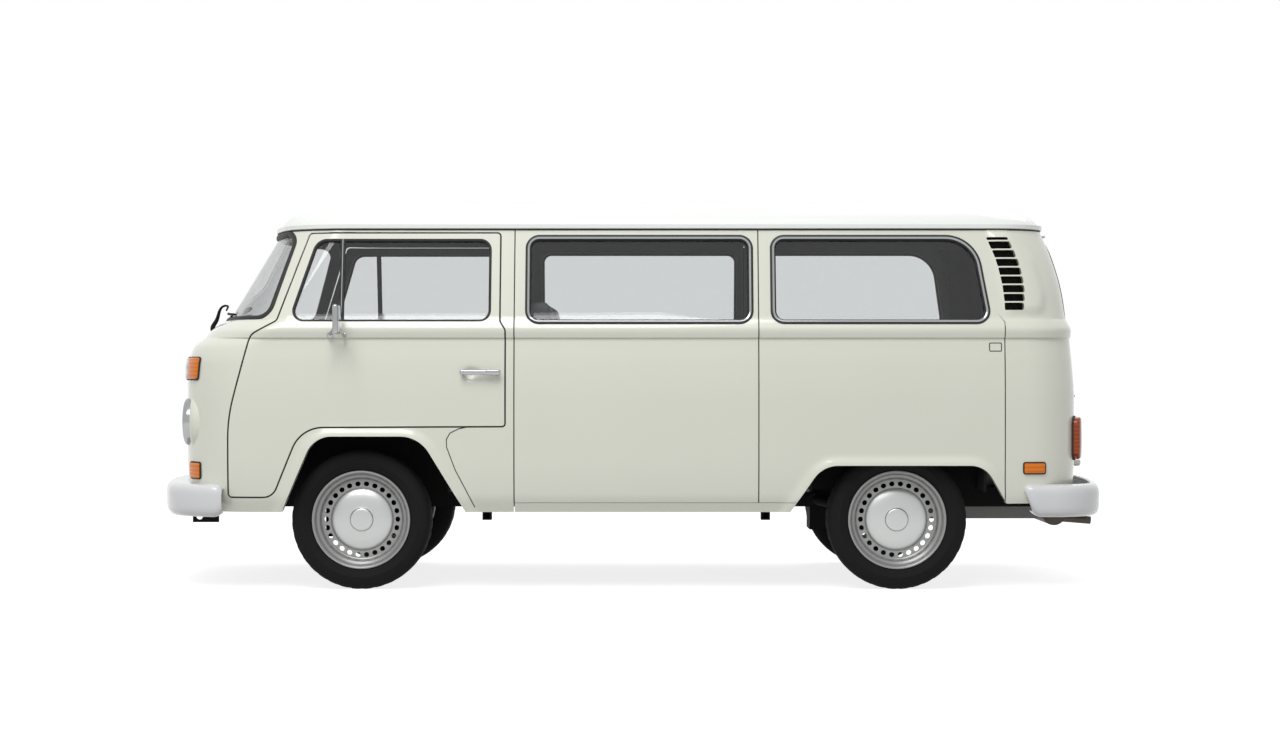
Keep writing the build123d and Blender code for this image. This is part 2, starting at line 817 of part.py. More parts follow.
# Bumpers
for bumper_name, side in (("bumper_front", -1), ("bumper_rear", 1)):
    rail_end = rail_front_x if side < 0 else rail_rear_x
    with BuildPart() as bumper_whole:
        add(channel_bumper(side))
        for y in (-bracket_y, bracket_y):
            add(block(*sorted((rail_end, side * (bumper_reach - bumper_depth + 4))),
                      y - bracket_width / 2, y + bracket_width / 2,
                      bracket_z - bracket_height / 2, bracket_z + bracket_height / 2))
    finish(bumper_whole.part, bumper_name)

# Floor pan, cut away over the wheels and beside the doors
with BuildPart() as floor_pan:
    add(inner_core)
    add(block(-2100, deck_front_x + floor_thickness, -side_reach, side_reach, floor_z, floor_z + floor_thickness),
        mode=Mode.INTERSECT)
    for sign in (-1, 1):
        add(block(front_well[0], front_well[1], *sorted((sign * well_inner_y, sign * side_reach)), 300, 800),
            mode=Mode.SUBTRACT)
        add(block(rear_well[0], rear_well[1], *sorted((sign * rear_well_inner_y, sign * side_reach)), 300, 800),
            mode=Mode.SUBTRACT)
        add(block(-1800, front_well[0] + 1, *sorted((sign * door_clear_y, sign * side_reach)), 300, 800),
            mode=Mode.SUBTRACT)
finish(floor_pan.part, "floor_pan")

# Wheelhouses, open to the wheel, with the seat boxes beside the front ones
with BuildPart() as front_house:
    add(block(front_well[0], front_well[1], -side_reach, -well_inner_y, floor_z, front_well[2]))
    add(block(seat_box_front_x, seat_box_rear_x, -well_inner_y - well_thickness, -seat_box_inner_y,
              floor_z + floor_thickness, front_well[2]))
    add(block(front_well[1] - well_thickness, seat_box_rear_x, -seat_box_outer_y, -well_inner_y,
              floor_z + floor_thickness, front_well[2]))
    add(block(front_well[0] + well_thickness, front_well[1] - well_thickness, -side_reach,
              -well_inner_y - well_thickness, floor_z, front_well[2] - well_thickness), mode=Mode.SUBTRACT)
    add(block(seat_box_front_x + well_thickness, seat_box_rear_x - well_thickness, -well_inner_y + 1,
              -seat_box_inner_y - well_thickness, floor_z, front_well[2] - well_thickness), mode=Mode.SUBTRACT)
    add(block(front_well[1] + 1, seat_box_rear_x - well_thickness, -seat_box_outer_y + well_thickness,
              -well_inner_y + 2, floor_z, front_well[2] - well_thickness), mode=Mode.SUBTRACT)
    add(block(front_well[0], front_well[0] + 170, -side_reach, -door_clear_y, floor_z, front_well[2]),
        mode=Mode.SUBTRACT)
    add(inner_core, mode=Mode.INTERSECT)
with BuildPart() as rear_house:
    add(block(rear_well[0], rear_well[1], -side_reach, -rear_well_inner_y, floor_z, rear_well[2]))
    add(block(rear_well[0] + well_thickness, rear_well[1] - well_thickness, -side_reach,
              -rear_well_inner_y - well_thickness, floor_z, rear_well[2] - well_thickness), mode=Mode.SUBTRACT)
    add(inner_core, mode=Mode.INTERSECT)
finish(both_sides(front_house.part), "front_wheelhouses")
finish(both_sides(rear_house.part), "rear_wheelhouses")

# Deck over the engine, with the riser at its front
with BuildPart() as rear_deck:
    add(inner_core)
    with BuildPart(mode=Mode.PRIVATE) as deck_plates:
        add(block(deck_front_x, deck_rear_x, -side_reach, side_reach, deck_z - floor_thickness, deck_z))
        add(block(deck_front_x, deck_front_x + floor_thickness, -rear_well_inner_y, rear_well_inner_y,
                  floor_z + floor_thickness, deck_z))
    add(deck_plates.part, mode=Mode.INTERSECT)
finish(rear_deck.part, "rear_deck")

# Chassis frame: two rails, cross members, outriggers with jacking sockets and a towing eye
with BuildPart() as chassis_frame:
    for sign in (-1, 1):
        y = sign * rail_y
        add(block(rail_front_x, rail_rear_x, y - rail_width / 2, y + rail_width / 2, rail_low_z, floor_z))
        for x in jack_point_x:
            inner_y = sign * (rail_y + rail_width / 2)
            add(block(x - 25, x + 25, *sorted((inner_y, sign * outrigger_reach)), floor_z - 60, floor_z))
            add(block(x - 20, x + 20, *sorted((sign * (outrigger_reach - 60), sign * outrigger_reach)),
                      sill_z - 38, floor_z - 60))
            add(block(x - 14, x + 14, *sorted((sign * (outrigger_reach - 50), sign * (outrigger_reach + 1))),
                      sill_z - 32, sill_z - 4), mode=Mode.SUBTRACT)
    for x in cross_member_x:
        add(block(x - 30, x + 30, -rail_y, rail_y, floor_z - 70, floor_z))
    add(block(tow_eye_x - 30, rail_front_x + 60, -rail_y - 7, -rail_y + 7, tow_eye_z - 28, rail_low_z))
    add(rod((tow_eye_x, -rail_y - 10, tow_eye_z), (tow_eye_x, -rail_y + 10, tow_eye_z), tow_eye_radius),
        mode=Mode.SUBTRACT)
    for z in (tyre_radius - beam_tube_spread, tyre_radius + beam_tube_spread):
        x = front_axle_x + beam_offset
        add(rod((x, -beam_half_length, z), (x, beam_half_length, z), beam_tube_radius), mode=Mode.SUBTRACT)
finish(chassis_frame.part, "chassis_frame")

# Front axle: twin-tube beam, and the arms that carry the knuckles
beam_x = front_axle_x + beam_offset
with BuildPart() as axle_side:
    for sign in (-1, 1):
        tube_z = tyre_radius + sign * beam_tube_spread
        ball_z = tyre_radius + sign * ball_height
        arm_y = -beam_half_length - arm_radius - arm_end_gap
        add(rod((beam_x, 0, tube_z), (beam_x, -beam_half_length, tube_z), beam_tube_radius))
        add(rod((beam_x, -beam_half_length + 8, tube_z), (beam_x, arm_y - arm_radius - 6, tube_z),
                beam_tube_radius - 6))
        add(rod((beam_x, arm_y, tube_z), (front_axle_x, arm_y, ball_z), arm_radius))
        add(rod((front_axle_x, arm_y, ball_z), (front_axle_x, -kingpin_y, ball_z), arm_radius))
        add(rod((front_axle_x, -kingpin_y, ball_z - eye_half_height),
                (front_axle_x, -kingpin_y, ball_z + eye_half_height), eye_radius))
        with Locations((front_axle_x, arm_y, ball_z)):
            Sphere(arm_radius + 2)
    add(block(beam_x - 45, beam_x + 45, -beam_half_length, -beam_half_length + 28,
              tyre_radius - 95, tyre_radius + 105, 0))
finish(both_sides(axle_side.part), "front_axle")

# Steering knuckles: kingpin between the arms' eyes, hub plate, spindle and steering arm
wheel_y = front_track / 2
pin_low_z = tyre_radius - ball_height + eye_half_height + eye_gap
pin_high_z = tyre_radius + ball_height - eye_half_height - eye_gap
steering_tip_x = front_axle_x + steering_arm_length
with BuildPart() as knuckle_left:
    add(rod((front_axle_x, -kingpin_y, pin_low_z), (front_axle_x, -kingpin_y, pin_high_z), 18))
    add(block(front_axle_x - 40, front_axle_x + 40, -wheel_y + plate_offset, -kingpin_y,
              tyre_radius - 45, tyre_radius + 45))
    add(rod((front_axle_x, -wheel_y + plate_offset, tyre_radius),
            (front_axle_x, -wheel_y + plate_offset - plate_thickness, tyre_radius), plate_radius))
    add(rod((front_axle_x, -wheel_y + plate_offset, tyre_radius),
            (front_axle_x, -wheel_y - spindle_reach, tyre_radius), spindle_radius))
    add(block(front_axle_x, steering_tip_x, -kingpin_y - 12, -kingpin_y + 12,
              steering_arm_z + eye_height, steering_arm_z + eye_height + 16))
    add(rod((steering_tip_x, -kingpin_y, steering_arm_z + eye_height),
            (steering_tip_x, -kingpin_y, steering_arm_z + eye_height + 16), eye_radius))
finish(knuckle_left.part, "knuckle_left")
finish(mirrored(knuckle_left.part), "knuckle_right")

# Tie rod, its eyes stacked under the steering arms' tips
with BuildPart() as tie_half:
    add(rod((steering_tip_x, 0, steering_arm_z + eye_height / 2 - eye_gap),
            (steering_tip_x, -kingpin_y, steering_arm_z + eye_height / 2 - eye_gap), rod_radius))
    add(rod((steering_tip_x, -kingpin_y, steering_arm_z - eye_gap),
            (steering_tip_x, -kingpin_y, steering_arm_z + eye_height - eye_gap), eye_radius))
finish(both_sides(tie_half.part), "tie_rod")

# Rear axle: gearbox, half shafts, hub carriers and trailing arms
rear_wheel_y = rear_track / 2
with BuildPart() as rear_half:
    add(block(gearbox_x[0], gearbox_x[1], -gearbox_half_width, 0, gearbox_z[0], gearbox_z[1]))
    add(rod((rear_axle_x, 0, tyre_radius), (rear_axle_x, -rear_wheel_y + plate_offset, tyre_radius), 20))
    add(rod((rear_axle_x, -rear_wheel_y + plate_offset + 50, tyre_radius),
            (rear_axle_x, -rear_wheel_y + plate_offset, tyre_radius), 46))
    add(rod((rear_axle_x, -rear_wheel_y + plate_offset, tyre_radius),
            (rear_axle_x, -rear_wheel_y + plate_offset - plate_thickness, tyre_radius), plate_radius))
    add(rod((rear_axle_x, -rear_wheel_y + plate_offset, tyre_radius),
            (rear_axle_x, -rear_wheel_y - spindle_reach, tyre_radius), spindle_radius))
    pivot_y = -rail_y - rail_width / 2
    add(rod((arm_pivot_x, pivot_y, arm_pivot_z), (arm_pivot_x, pivot_y - 36, arm_pivot_z), 30))
    add(rod((arm_pivot_x, pivot_y - 24, arm_pivot_z),
            (rear_axle_x, -rear_wheel_y + plate_offset + 30, tyre_radius), 22))
finish(both_sides(rear_half.part), "rear_axle")

# Engine as one plain block, and the exhaust behind it
with BuildPart() as engine:
    add(block(gearbox_x[1], engine_rear_x, -engine_half_width, engine_half_width, *engine_z))
finish(engine.part, "engine")
with BuildPart() as exhaust:
    add(rod((engine_rear_x + silencer_radius, -silencer_half_length, silencer_z),
            (engine_rear_x + silencer_radius, silencer_half_length, silencer_z), silencer_radius))
    add(rod((engine_rear_x + silencer_radius, -silencer_half_length + 30, silencer_z - 20),
            (bumper_reach - 20, -silencer_half_length + 30, silencer_z - 34), 18))
finish(exhaust.part, "exhaust")

# Dashboard across the nose, and the steering column with its wheel
with BuildPart() as dashboard:
    add(inner_core)
    add(block(-2100, dash_rear_x, -dash_half_width, dash_half_width, dash_low_z, dash_high_z),
        mode=Mode.INTERSECT)
finish(dashboard.part, "dashboard")
column = Vector(steering_wheel_x - column_foot_x, 0, steering_wheel_z - floor_z - floor_thickness)
wheel_plane = Plane(origin=(steering_wheel_x, -driver_y, steering_wheel_z), x_dir=(0, 1, 0), z_dir=column)
with BuildPart() as steering_wheel:
    with BuildSketch(Plane.XY.offset(floor_z + floor_thickness)):
        with Locations((column_foot_x, -driver_y)):
            Circle(34)
    extrude(amount=20)
    add(rod((column_foot_x, -driver_y, floor_z + floor_thickness + 8),
            (steering_wheel_x, -driver_y, steering_wheel_z), 18))
    with BuildSketch(wheel_plane):
        Circle(44)
    extrude(amount=24, both=True)
    with Locations(wheel_plane):
        Torus(steering_wheel_radius, 13)
    with BuildSketch(wheel_plane.offset(-4)):
        Rectangle(2 * steering_wheel_radius, 34)
    extrude(amount=8)
finish(steering_wheel.part, "steering_wheel")

# Seats: closed cushions and leaning backs, on the seat boxes and on frames
with BuildPart() as front_seat:
    extrude(outline_sketch(front_cushion_corners, Plane.XZ.offset(front_seat_y)), amount=front_seat_width)
    extrude(outline_sketch(front_back_corners, Plane.XZ.offset(front_seat_y)), amount=front_seat_width)
finish(both_sides(front_seat.part), "front_seats")
with BuildPart() as middle_bench:
    extrude(outline_sketch(middle_cushion_corners, Plane.XZ.offset(-middle_bench_y[1])),
            amount=middle_bench_y[1] - middle_bench_y[0])
    extrude(outline_sketch(middle_back_corners, Plane.XZ.offset(-middle_bench_y[1])),
            amount=middle_bench_y[1] - middle_bench_y[0])
finish(middle_bench.part, "middle_bench")
with BuildPart() as rear_bench:
    extrude(outline_sketch(rear_cushion_corners, Plane.XZ.offset(-rear_bench_half_width)),
            amount=2 * rear_bench_half_width)
    extrude(outline_sketch(rear_back_corners, Plane.XZ.offset(-rear_bench_half_width)),
            amount=2 * rear_bench_half_width)
finish(rear_bench.part, "rear_bench")
with BuildPart() as bench_frames:
    for y in (middle_bench_y[0] + 60, middle_bench_y[1] - 90):
        add(block(-80, 300, y, y + 30, floor_z + floor_thickness, middle_cushion_corners[0][1]))
        add(block(-40, 260, y - 1, y + 31, floor_z + floor_thickness + 40, middle_cushion_corners[0][1] - 40),
            mode=Mode.SUBTRACT)
    for y in (-400, 370):
        add(block(700, 1080, y, y + 30, floor_z + floor_thickness, rear_cushion_corners[0][1]))
        add(block(740, 1040, y - 1, y + 31, floor_z + floor_thickness + 40, rear_cushion_corners[0][1] - 40),
            mode=Mode.SUBTRACT)
finish(bench_frames.part, "bench_frames")

# Wipers, parked along the foot of the windscreen
with BuildPart() as wipers:
    for pivot in wiper_pivot_y:
        tip = pivot - wiper_length
        add(rod((screen_x(pivot, wiper_z - 14, wiper_lift), pivot, wiper_z - 14),
                (screen_x(tip, wiper_z, wiper_lift), tip, wiper_z), 6))
        add(rod((screen_x(pivot, wiper_z - 14, wiper_lift), pivot, wiper_z - 14),
                (screen_x(pivot, wiper_z - 14, -glass_depth - 1), pivot, wiper_z - 14), 8))
with BuildPart() as wipers_seated:
    add(wipers.part)
    add(outer_core, mode=Mode.SUBTRACT)
finish(wipers_seated.part, "wipers")

# Wheels: tyre and pressed wheel with its ring of vents, drum and domed cap, along +Z outboard
with BuildPart() as tyre:
    with BuildSketch(Plane.XZ):
        with BuildLine():
            Polyline((rim_radius + 0.4, -48), (rim_radius + 6, -63), (rim_radius + 15.5, -74))
            ThreePointArc((rim_radius + 15.5, -74), (258, -tyre_width / 2), (296, -79))
            ThreePointArc((296, -79), (307, -72), (tyre_radius, -60))
            Line((tyre_radius, -60), (tyre_radius, 60))
            ThreePointArc((tyre_radius, 60), (307, 72), (296, 79))
            ThreePointArc((296, 79), (258, tyre_width / 2), (rim_radius + 15.5, 74))
            Polyline((rim_radius + 15.5, 74), (rim_radius + 6, 63), (rim_radius + 0.4, 48),
                     (rim_radius + 0.4, -48))
        make_face()
    revolve(axis=Axis.Z)
with BuildPart() as road_wheel:
    with BuildSketch(Plane.XZ):
        with BuildLine():
            Polyline(*rim_profile, close=True)
        make_face()
    revolve(axis=Axis.Z)
    with BuildSketch(Plane.XY.offset(cap_base)):
        Circle(cap_radius)
    extrude(amount=6)
    with BuildSketch(Plane.XZ):
        with BuildLine():
            Line((0, cap_base + 5), (cap_radius - 2, cap_base + 5))
            ThreePointArc((cap_radius - 2, cap_base + 5), (cap_radius * 0.55, cap_base + 20), (0, cap_base + 26))
            Line((0, cap_base + 26), (0, cap_base + 5))
        make_face()
    revolve(axis=Axis.Z)
    with BuildSketch(Plane.XY.offset(cap_base + 10)):
        Circle(cap_boss_radius)
    extrude(amount=20)
    with BuildSketch(Plane.XY.offset(-wheel_back)):
        Circle(drum_radius)
    extrude(amount=wheel_back + 22)
    with BuildSketch(Plane.XY.offset(-wheel_back - 1)):
        Circle(spindle_radius + spindle_gap)
    extrude(amount=wheel_back + 1 + spindle_reach + 3, mode=Mode.SUBTRACT)
    with BuildSketch(Plane.XY.offset(-20)):
        with PolarLocations(vent_circle_radius, vent_hole_count):
            Circle(vent_hole_radius)
    extrude(amount=70, mode=Mode.SUBTRACT)
for wheel_name, axle_x, side_y in (
    ("front_left", front_axle_x, -wheel_y),
    ("front_right", front_axle_x, wheel_y),
    ("rear_left", rear_axle_x, -rear_wheel_y),
    ("rear_right", rear_axle_x, rear_wheel_y),
):
    hub_plane = Plane(origin=(axle_x, side_y, tyre_radius), x_dir=(1, 0, 0), z_dir=(0, side_y, 0))
    for piece, piece_name in ((tyre, "tyre"), (road_wheel, "wheel")):
        with BuildPart() as placed:
            add(hub_plane.from_local_coords(piece.part))
        finish(placed.part, f"{piece_name}_{wheel_name}")
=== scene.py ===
# %% [markdown]
# A passenger van with a forward cab, a bay windscreen and its engine in the tail, dressed over its CAD frame.
# The CAD gives every piece its place. Here the pressed steel body gets one smooth skin, cut into panels, and
# then glass, rubber, bright metal, wheels and seats are laid on it.

# %% Start from the frame
import math

import bpy
import numpy as np
from mathutils import Matrix, Vector


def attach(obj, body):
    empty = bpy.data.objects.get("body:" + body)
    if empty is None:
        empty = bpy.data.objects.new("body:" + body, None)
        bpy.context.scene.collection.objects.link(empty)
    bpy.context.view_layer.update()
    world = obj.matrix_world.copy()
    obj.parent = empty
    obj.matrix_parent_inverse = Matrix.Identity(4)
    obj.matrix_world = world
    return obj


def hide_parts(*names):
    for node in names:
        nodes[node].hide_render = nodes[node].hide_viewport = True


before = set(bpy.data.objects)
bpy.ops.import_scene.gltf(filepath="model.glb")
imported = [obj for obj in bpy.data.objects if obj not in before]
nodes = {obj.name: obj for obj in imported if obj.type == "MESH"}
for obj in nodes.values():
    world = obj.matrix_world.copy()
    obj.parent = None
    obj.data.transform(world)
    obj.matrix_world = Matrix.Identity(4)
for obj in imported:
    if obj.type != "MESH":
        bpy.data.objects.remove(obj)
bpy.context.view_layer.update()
scene = bpy.context.scene

# %% [markdown]
# The camera stands where the photographer stood: level with the waist of the van, square to its left side and
# about eleven metres off. Placing it first lets every later piece be judged from there.

# %% Camera
CAMERA_AT = (0.045, -11.79, 1.003)
LENS_MM = 69.23
bpy.ops.object.camera_add(location=CAMERA_AT, rotation=(math.pi / 2, 0, 0))
camera = bpy.context.object
camera.name = "side_camera"
camera.data.lens = LENS_MM
camera.data.sensor_width = 36
scene.camera = camera

# %% [markdown]
# Materials come from nodes alone. One helper adds a node with its settings and links, and another turns a
# sRGB hex colour into the linear values that the renderer works in.

# %% Material helpers
def linear(hex_colour):
    """Linear RGBA of an sRGB hex colour."""
    values = [int(hex_colour[i:i + 2], 16) / 255 for i in (1, 3, 5)]
    return [v / 12.92 if v <= 0.04045 else ((v + 0.055) / 1.055) ** 2.4 for v in values] + [1.0]


def add_node(tree, kind, inputs=None, **settings):
    """Add a node, set its properties, and fill or link its inputs."""
    node = tree.nodes.new(kind)
    for key, value in settings.items():
        setattr(node, key, value)
    for socket, value in (inputs or {}).items():
        if isinstance(value, bpy.types.NodeSocket):
            tree.links.new(value, node.inputs[socket])
        else:
            node.inputs[socket].default_value = value
    return node


def new_material(name):
    """An empty node material and its tree."""
    material = bpy.data.materials.new(name)
    material.use_nodes = True
    material.node_tree.nodes.clear()
    return material, material.node_tree


def surface(name, colour, other, grain_mm, bump_mm, roughness, spread=0.05, share=0.5, **sockets):
    """A finish that wanders between two close colours and has grain of a real size."""
    material, tree = new_material(name)
    place = add_node(tree, "ShaderNodeTexCoord")
    drift = add_node(tree, "ShaderNodeTexNoise",
                     {"Vector": place.outputs["Object"], "Scale": 3.0, "Detail": 4.0})
    mix = add_node(tree, "ShaderNodeMix", {0: drift.outputs["Fac"], 6: linear(colour), 7: linear(other)},
                   data_type="RGBA")
    grain = add_node(tree, "ShaderNodeTexNoise",
                     {"Vector": place.outputs["Object"], "Scale": 1000.0 / grain_mm, "Detail": 3.0})
    rough = add_node(tree, "ShaderNodeMapRange",
                     {"Value": grain.outputs["Fac"], "To Min": roughness - spread,
                      "To Max": roughness + spread})
    bump = add_node(tree, "ShaderNodeBump",
                    {"Height": grain.outputs["Fac"], "Distance": bump_mm * 0.001, "Strength": share})
    shader = add_node(tree, "ShaderNodeBsdfPrincipled",
                      {"Base Color": mix.outputs[2], "Roughness": rough.outputs["Result"],
                       "Normal": bump.outputs["Normal"], **sockets})
    add_node(tree, "ShaderNodeOutputMaterial", {"Surface": shader.outputs["BSDF"]})
    return material


# %% [markdown]
# Sprayed and polished cellulose paint is a colour coat under a clear gloss. Its colour hardly varies, and the
# clear coat carries the reflections, with a trace of orange peel a few millimetres across.

# %% Paint, rubber, metal and plastic
body_paint = surface("sprayed_ivory_paint", "#E2E3D6", "#DFE0D3", 6, 0.02, 0.32, 0.02, 0.3,
                     **{"Coat Weight": 0.7, "Coat Roughness": 0.06})
roof_paint = surface("sprayed_white_paint", "#F1F4F0", "#EFF2EE", 6, 0.02, 0.32, 0.02, 0.3,
                     **{"Coat Weight": 0.7, "Coat Roughness": 0.06})
bumper_paint = surface("sprayed_bumper_paint", "#DCDDDF", "#D8D9DB", 5, 0.02, 0.34, 0.02, 0.3,
                       **{"Coat Weight": 0.6, "Coat Roughness": 0.08})
# This black is real rubber on the seals and gaskets, and painted shade where it draws the shadow under the drip
# rail and in the small seams.
rubber_and_shade_black = surface("extruded_rubber_and_painted_shade", "#0F100F", "#161716", 2.0, 0.05, 0.62, 0.06, 0.4)
tyre_rubber = surface("vulcanised_rubber", "#131313", "#191919", 2.5, 0.12, 0.8, 0.06, 0.6,
                      **{"Specular IOR Level": 0.18})
bright_trim = surface("polished_chrome", "#A6A8AA", "#A0A2A4", 30, 0.005, 0.12, 0.02, 0.2, Metallic=1.0)
wheel_paint = surface("silver_wheel_lacquer", "#989998", "#8E8F8E", 1.5, 0.02, 0.38, 0.05, 0.3,
                      Metallic=0.5, **{"Coat Weight": 0.3, "Coat Roughness": 0.15})
cap_chrome = surface("satin_hubcap_chrome", "#BDBFBE", "#B7B9B8", 20, 0.01, 0.36, 0.03, 0.2, Metallic=1.0)
# The same black is painted shade on the air boxes behind the louvres.
chassis_paint = surface("black_chassis_and_shade_paint", "#0D0D0D", "#141312", 5, 0.3, 0.7, 0.1, 0.5,
                        **{"Specular IOR Level": 0.15})
trim_plastic = surface("moulded_trim_plastic", "#232425", "#2A2B2C", 1.2, 0.08, 0.55, 0.08, 0.5)
trim_board = surface("vinyl_trim_board", "#55585A", "#5D6062", 2.0, 0.12, 0.6, 0.06, 0.5)
headlining = surface("perforated_headlining", "#5A5C5D", "#636566", 4.0, 0.15, 0.7, 0.05, 0.5)
seat_vinyl = surface("leathercloth_vinyl", "#626566", "#6C6F70", 1.8, 0.1, 0.5, 0.06, 0.6)
engine_alloy = surface("cast_engine_alloy", "#6F706E", "#5B5B59", 4.0, 0.4, 0.5, 0.12, 0.6, Metallic=0.8)
exhaust_steel = surface("heat_stained_steel", "#5E5852", "#3E3A36", 6.0, 0.3, 0.55, 0.12, 0.5, Metallic=0.8)
mirror_glass = surface("silvered_glass", "#C9CDD0", "#C4C8CC", 50, 0.002, 0.03, 0.01, 0.1, Metallic=1.0)


# %% [markdown]
# Glass is modelled as a thin sheet that tints and reflects what is outside. A clear see-through shader is
# mixed with a sharp gloss: a few per cent looking straight in, and rising to a mirror at a shallow angle. The
# Fresnel node would turn a pane's back face into a full mirror, as nothing bends the ray on its way in.

# %% Glass and lenses
STRAIGHT_GLOSS = 0.035
STEEP_GLOSS = 0.9
STEEPNESS = 5.0
WAVE_TURN = 6.28


def glass_material(name, tint, gloss_roughness):
    """A thin pane: see-through with a tint, and mirror-like at a shallow angle."""
    material, tree = new_material(name)
    through = add_node(tree, "ShaderNodeBsdfTransparent", {"Color": linear(tint)})
    gloss = add_node(tree, "ShaderNodeBsdfGlossy", {"Roughness": gloss_roughness})
    view = add_node(tree, "ShaderNodeLayerWeight", {"Blend": 0.5})
    steep = add_node(tree, "ShaderNodeMath", {0: view.outputs["Facing"], 1: STEEPNESS}, operation="POWER")
    share = add_node(tree, "ShaderNodeMath", {0: steep.outputs[0], 1: STEEP_GLOSS, 2: STRAIGHT_GLOSS},
                     operation="MULTIPLY_ADD")
    pane = add_node(tree, "ShaderNodeMixShader",
                    {0: share.outputs[0], 1: through.outputs[0], 2: gloss.outputs[0]})
    add_node(tree, "ShaderNodeOutputMaterial", {"Surface": pane.outputs[0]})
    return material


def lens_material(name, colour, deep, pitch_mm):
    """Moulded acrylic with ribs on its inside, which show as fine bands."""
    material, tree = new_material(name)
    place = add_node(tree, "ShaderNodeTexCoord")
    ribs = add_node(tree, "ShaderNodeTexWave",
                    {"Vector": place.outputs["Object"], "Scale": 1000.0 / pitch_mm / WAVE_TURN,
                     "Distortion": 0.0}, bands_direction="Z")
    mix = add_node(tree, "ShaderNodeMix", {0: ribs.outputs["Fac"], 6: linear(deep), 7: linear(colour)},
                   data_type="RGBA")
    bump = add_node(tree, "ShaderNodeBump",
                    {"Height": ribs.outputs["Fac"], "Distance": 0.0006, "Strength": 0.4})
    shader = add_node(tree, "ShaderNodeBsdfPrincipled",
                      {"Base Color": mix.outputs[2], "Roughness": 0.12, "Normal": bump.outputs["Normal"],
                       "Coat Weight": 0.15, "Coat Roughness": 0.08, "Specular IOR Level": 0.25})
    add_node(tree, "ShaderNodeOutputMaterial", {"Surface": shader.outputs["BSDF"]})
    return material


window_glass = glass_material("toughened_window_glass", "#F3F4F4", 0.02)
amber_acrylic = lens_material("amber_acrylic", "#EE8408", "#DB6E02", 9)
red_acrylic = lens_material("red_acrylic", "#A84712", "#8C370D", 9)
lamp_glass = lens_material("fluted_lamp_glass", "#E4E8EA", "#AEB4B8", 24)

# %% [markdown]
# The body is described by plan outlines at many heights, the same numbers as the CAD. A curve that never
# overshoots joins them, so the skin stays fair between the measured rows.

# %% Body sections
WALL = 38
GLASS_DEPTH = 12
TAIL_CROWN = 4000
TAIL_CORNER = 230
BELT_Z = 1127
WAIST_Z = 1212
CANT_Z = 1616
SILL_Z = 350
# height, nose X, tail X, half width, nose crown radius, nose corner radius, tail corner radius
lower_table = [
    (SILL_Z, -2046, 2038, 822, 2500, 320, TAIL_CORNER),
    (430, -2069, 2052, 848, 2500, 330, TAIL_CORNER),
    (600, -2080, 2062, 859, 2500, 330, TAIL_CORNER),
    (850, -2080, 2062, 860, 2500, 330, TAIL_CORNER),
    (1010, -2074, 2052, 854, 2500, 330, TAIL_CORNER),
    (1085, -2054, 2044, 847, 2400, 330, TAIL_CORNER),
    (BELT_Z, -2008, 2040, 843, 2300, 330, TAIL_CORNER),
]
belt_table = [
    (BELT_Z, -2003, 2046, 852, 2300, 330, TAIL_CORNER),
    (1160, -1979, 2048, 860, 2200, 330, TAIL_CORNER),
    (1190, -1943, 2036, 850, 1900, 330, TAIL_CORNER),
    (WAIST_Z, -1907, 2022, 838, 1700, 330, TAIL_CORNER),
]
cabin_table = [
    (WAIST_Z, -1907, 2022, 838, 1700, 330, TAIL_CORNER),
    (1350, -1824, 1999, 809, 1650, 330, TAIL_CORNER),
    (1490, -1740, 1958, 779, 1600, 330, TAIL_CORNER),
    (CANT_Z, -1665, 1905, 752, 1550, 330, TAIL_CORNER),
]
roof_table = [
    (CANT_Z, -1665, 1905, 752, 1550, 330, TAIL_CORNER),
    (1650, -1650, 1890, 744, 1550, 340, 250),
    (1690, -1612, 1852, 708, 1550, 380, 300),
    (1720, -1530, 1765, 640, 1550, 420, 360),
    (1742, -1340, 1560, 530, 1550, 420, 400),
    (1757, -960, 1180, 370, 1500, 330, 330),
    (1766, -430, 640, 180, 1500, 160, 160),
]


def fair_rows(table, count):
    """Rows on a curve through a table's rows, with no overshoot."""
    rows = np.array(table, float)
    steps = np.hypot(np.diff(rows[:, 0]), np.diff(rows[:, 3]))
    place = np.concatenate([[0], np.cumsum(steps)])
    slopes = np.diff(rows, axis=0) / steps[:, None]
    tangents = np.zeros_like(rows)
    tangents[0], tangents[-1] = slopes[0], slopes[-1]
    for i in range(1, len(rows) - 1):
        before, after = slopes[i - 1], slopes[i]
        total = np.where(before + after == 0, 1, before + after)
        tangents[i] = np.where(before * after > 0, 2 * before * after / total, 0)
    out = []
    for t in np.linspace(0, place[-1], count + 1):
        i = min(int(np.searchsorted(place, t, side="right")) - 1, len(steps) - 1)
        h = steps[i]
        s = (t - place[i]) / h
        out.append((2 * s**3 - 3 * s**2 + 1) * rows[i] + (s**3 - 2 * s**2 + s) * h * tangents[i]
                   + (3 * s**2 - 2 * s**3) * rows[i + 1] + (s**3 - s**2) * h * tangents[i + 1])
    return out


lower_rows = fair_rows(lower_table, 64)
belt_rows = fair_rows(belt_table, 10)
cabin_rows = fair_rows(cabin_table, 26)
roof_rows = fair_rows(roof_table, 36)
body_rows = lower_rows + belt_rows + cabin_rows[1:]
all_rows = np.array(body_rows + roof_rows[1:])
print("skin rows:", len(body_rows), "roof rows:", len(roof_rows))


# %% [markdown]
# Each outline is a crowned nose, two round corners, straight sides and a crowned tail, all tangent. Written
# as arcs it can also be asked for the width at any X, which later pieces use to sit on the skin.

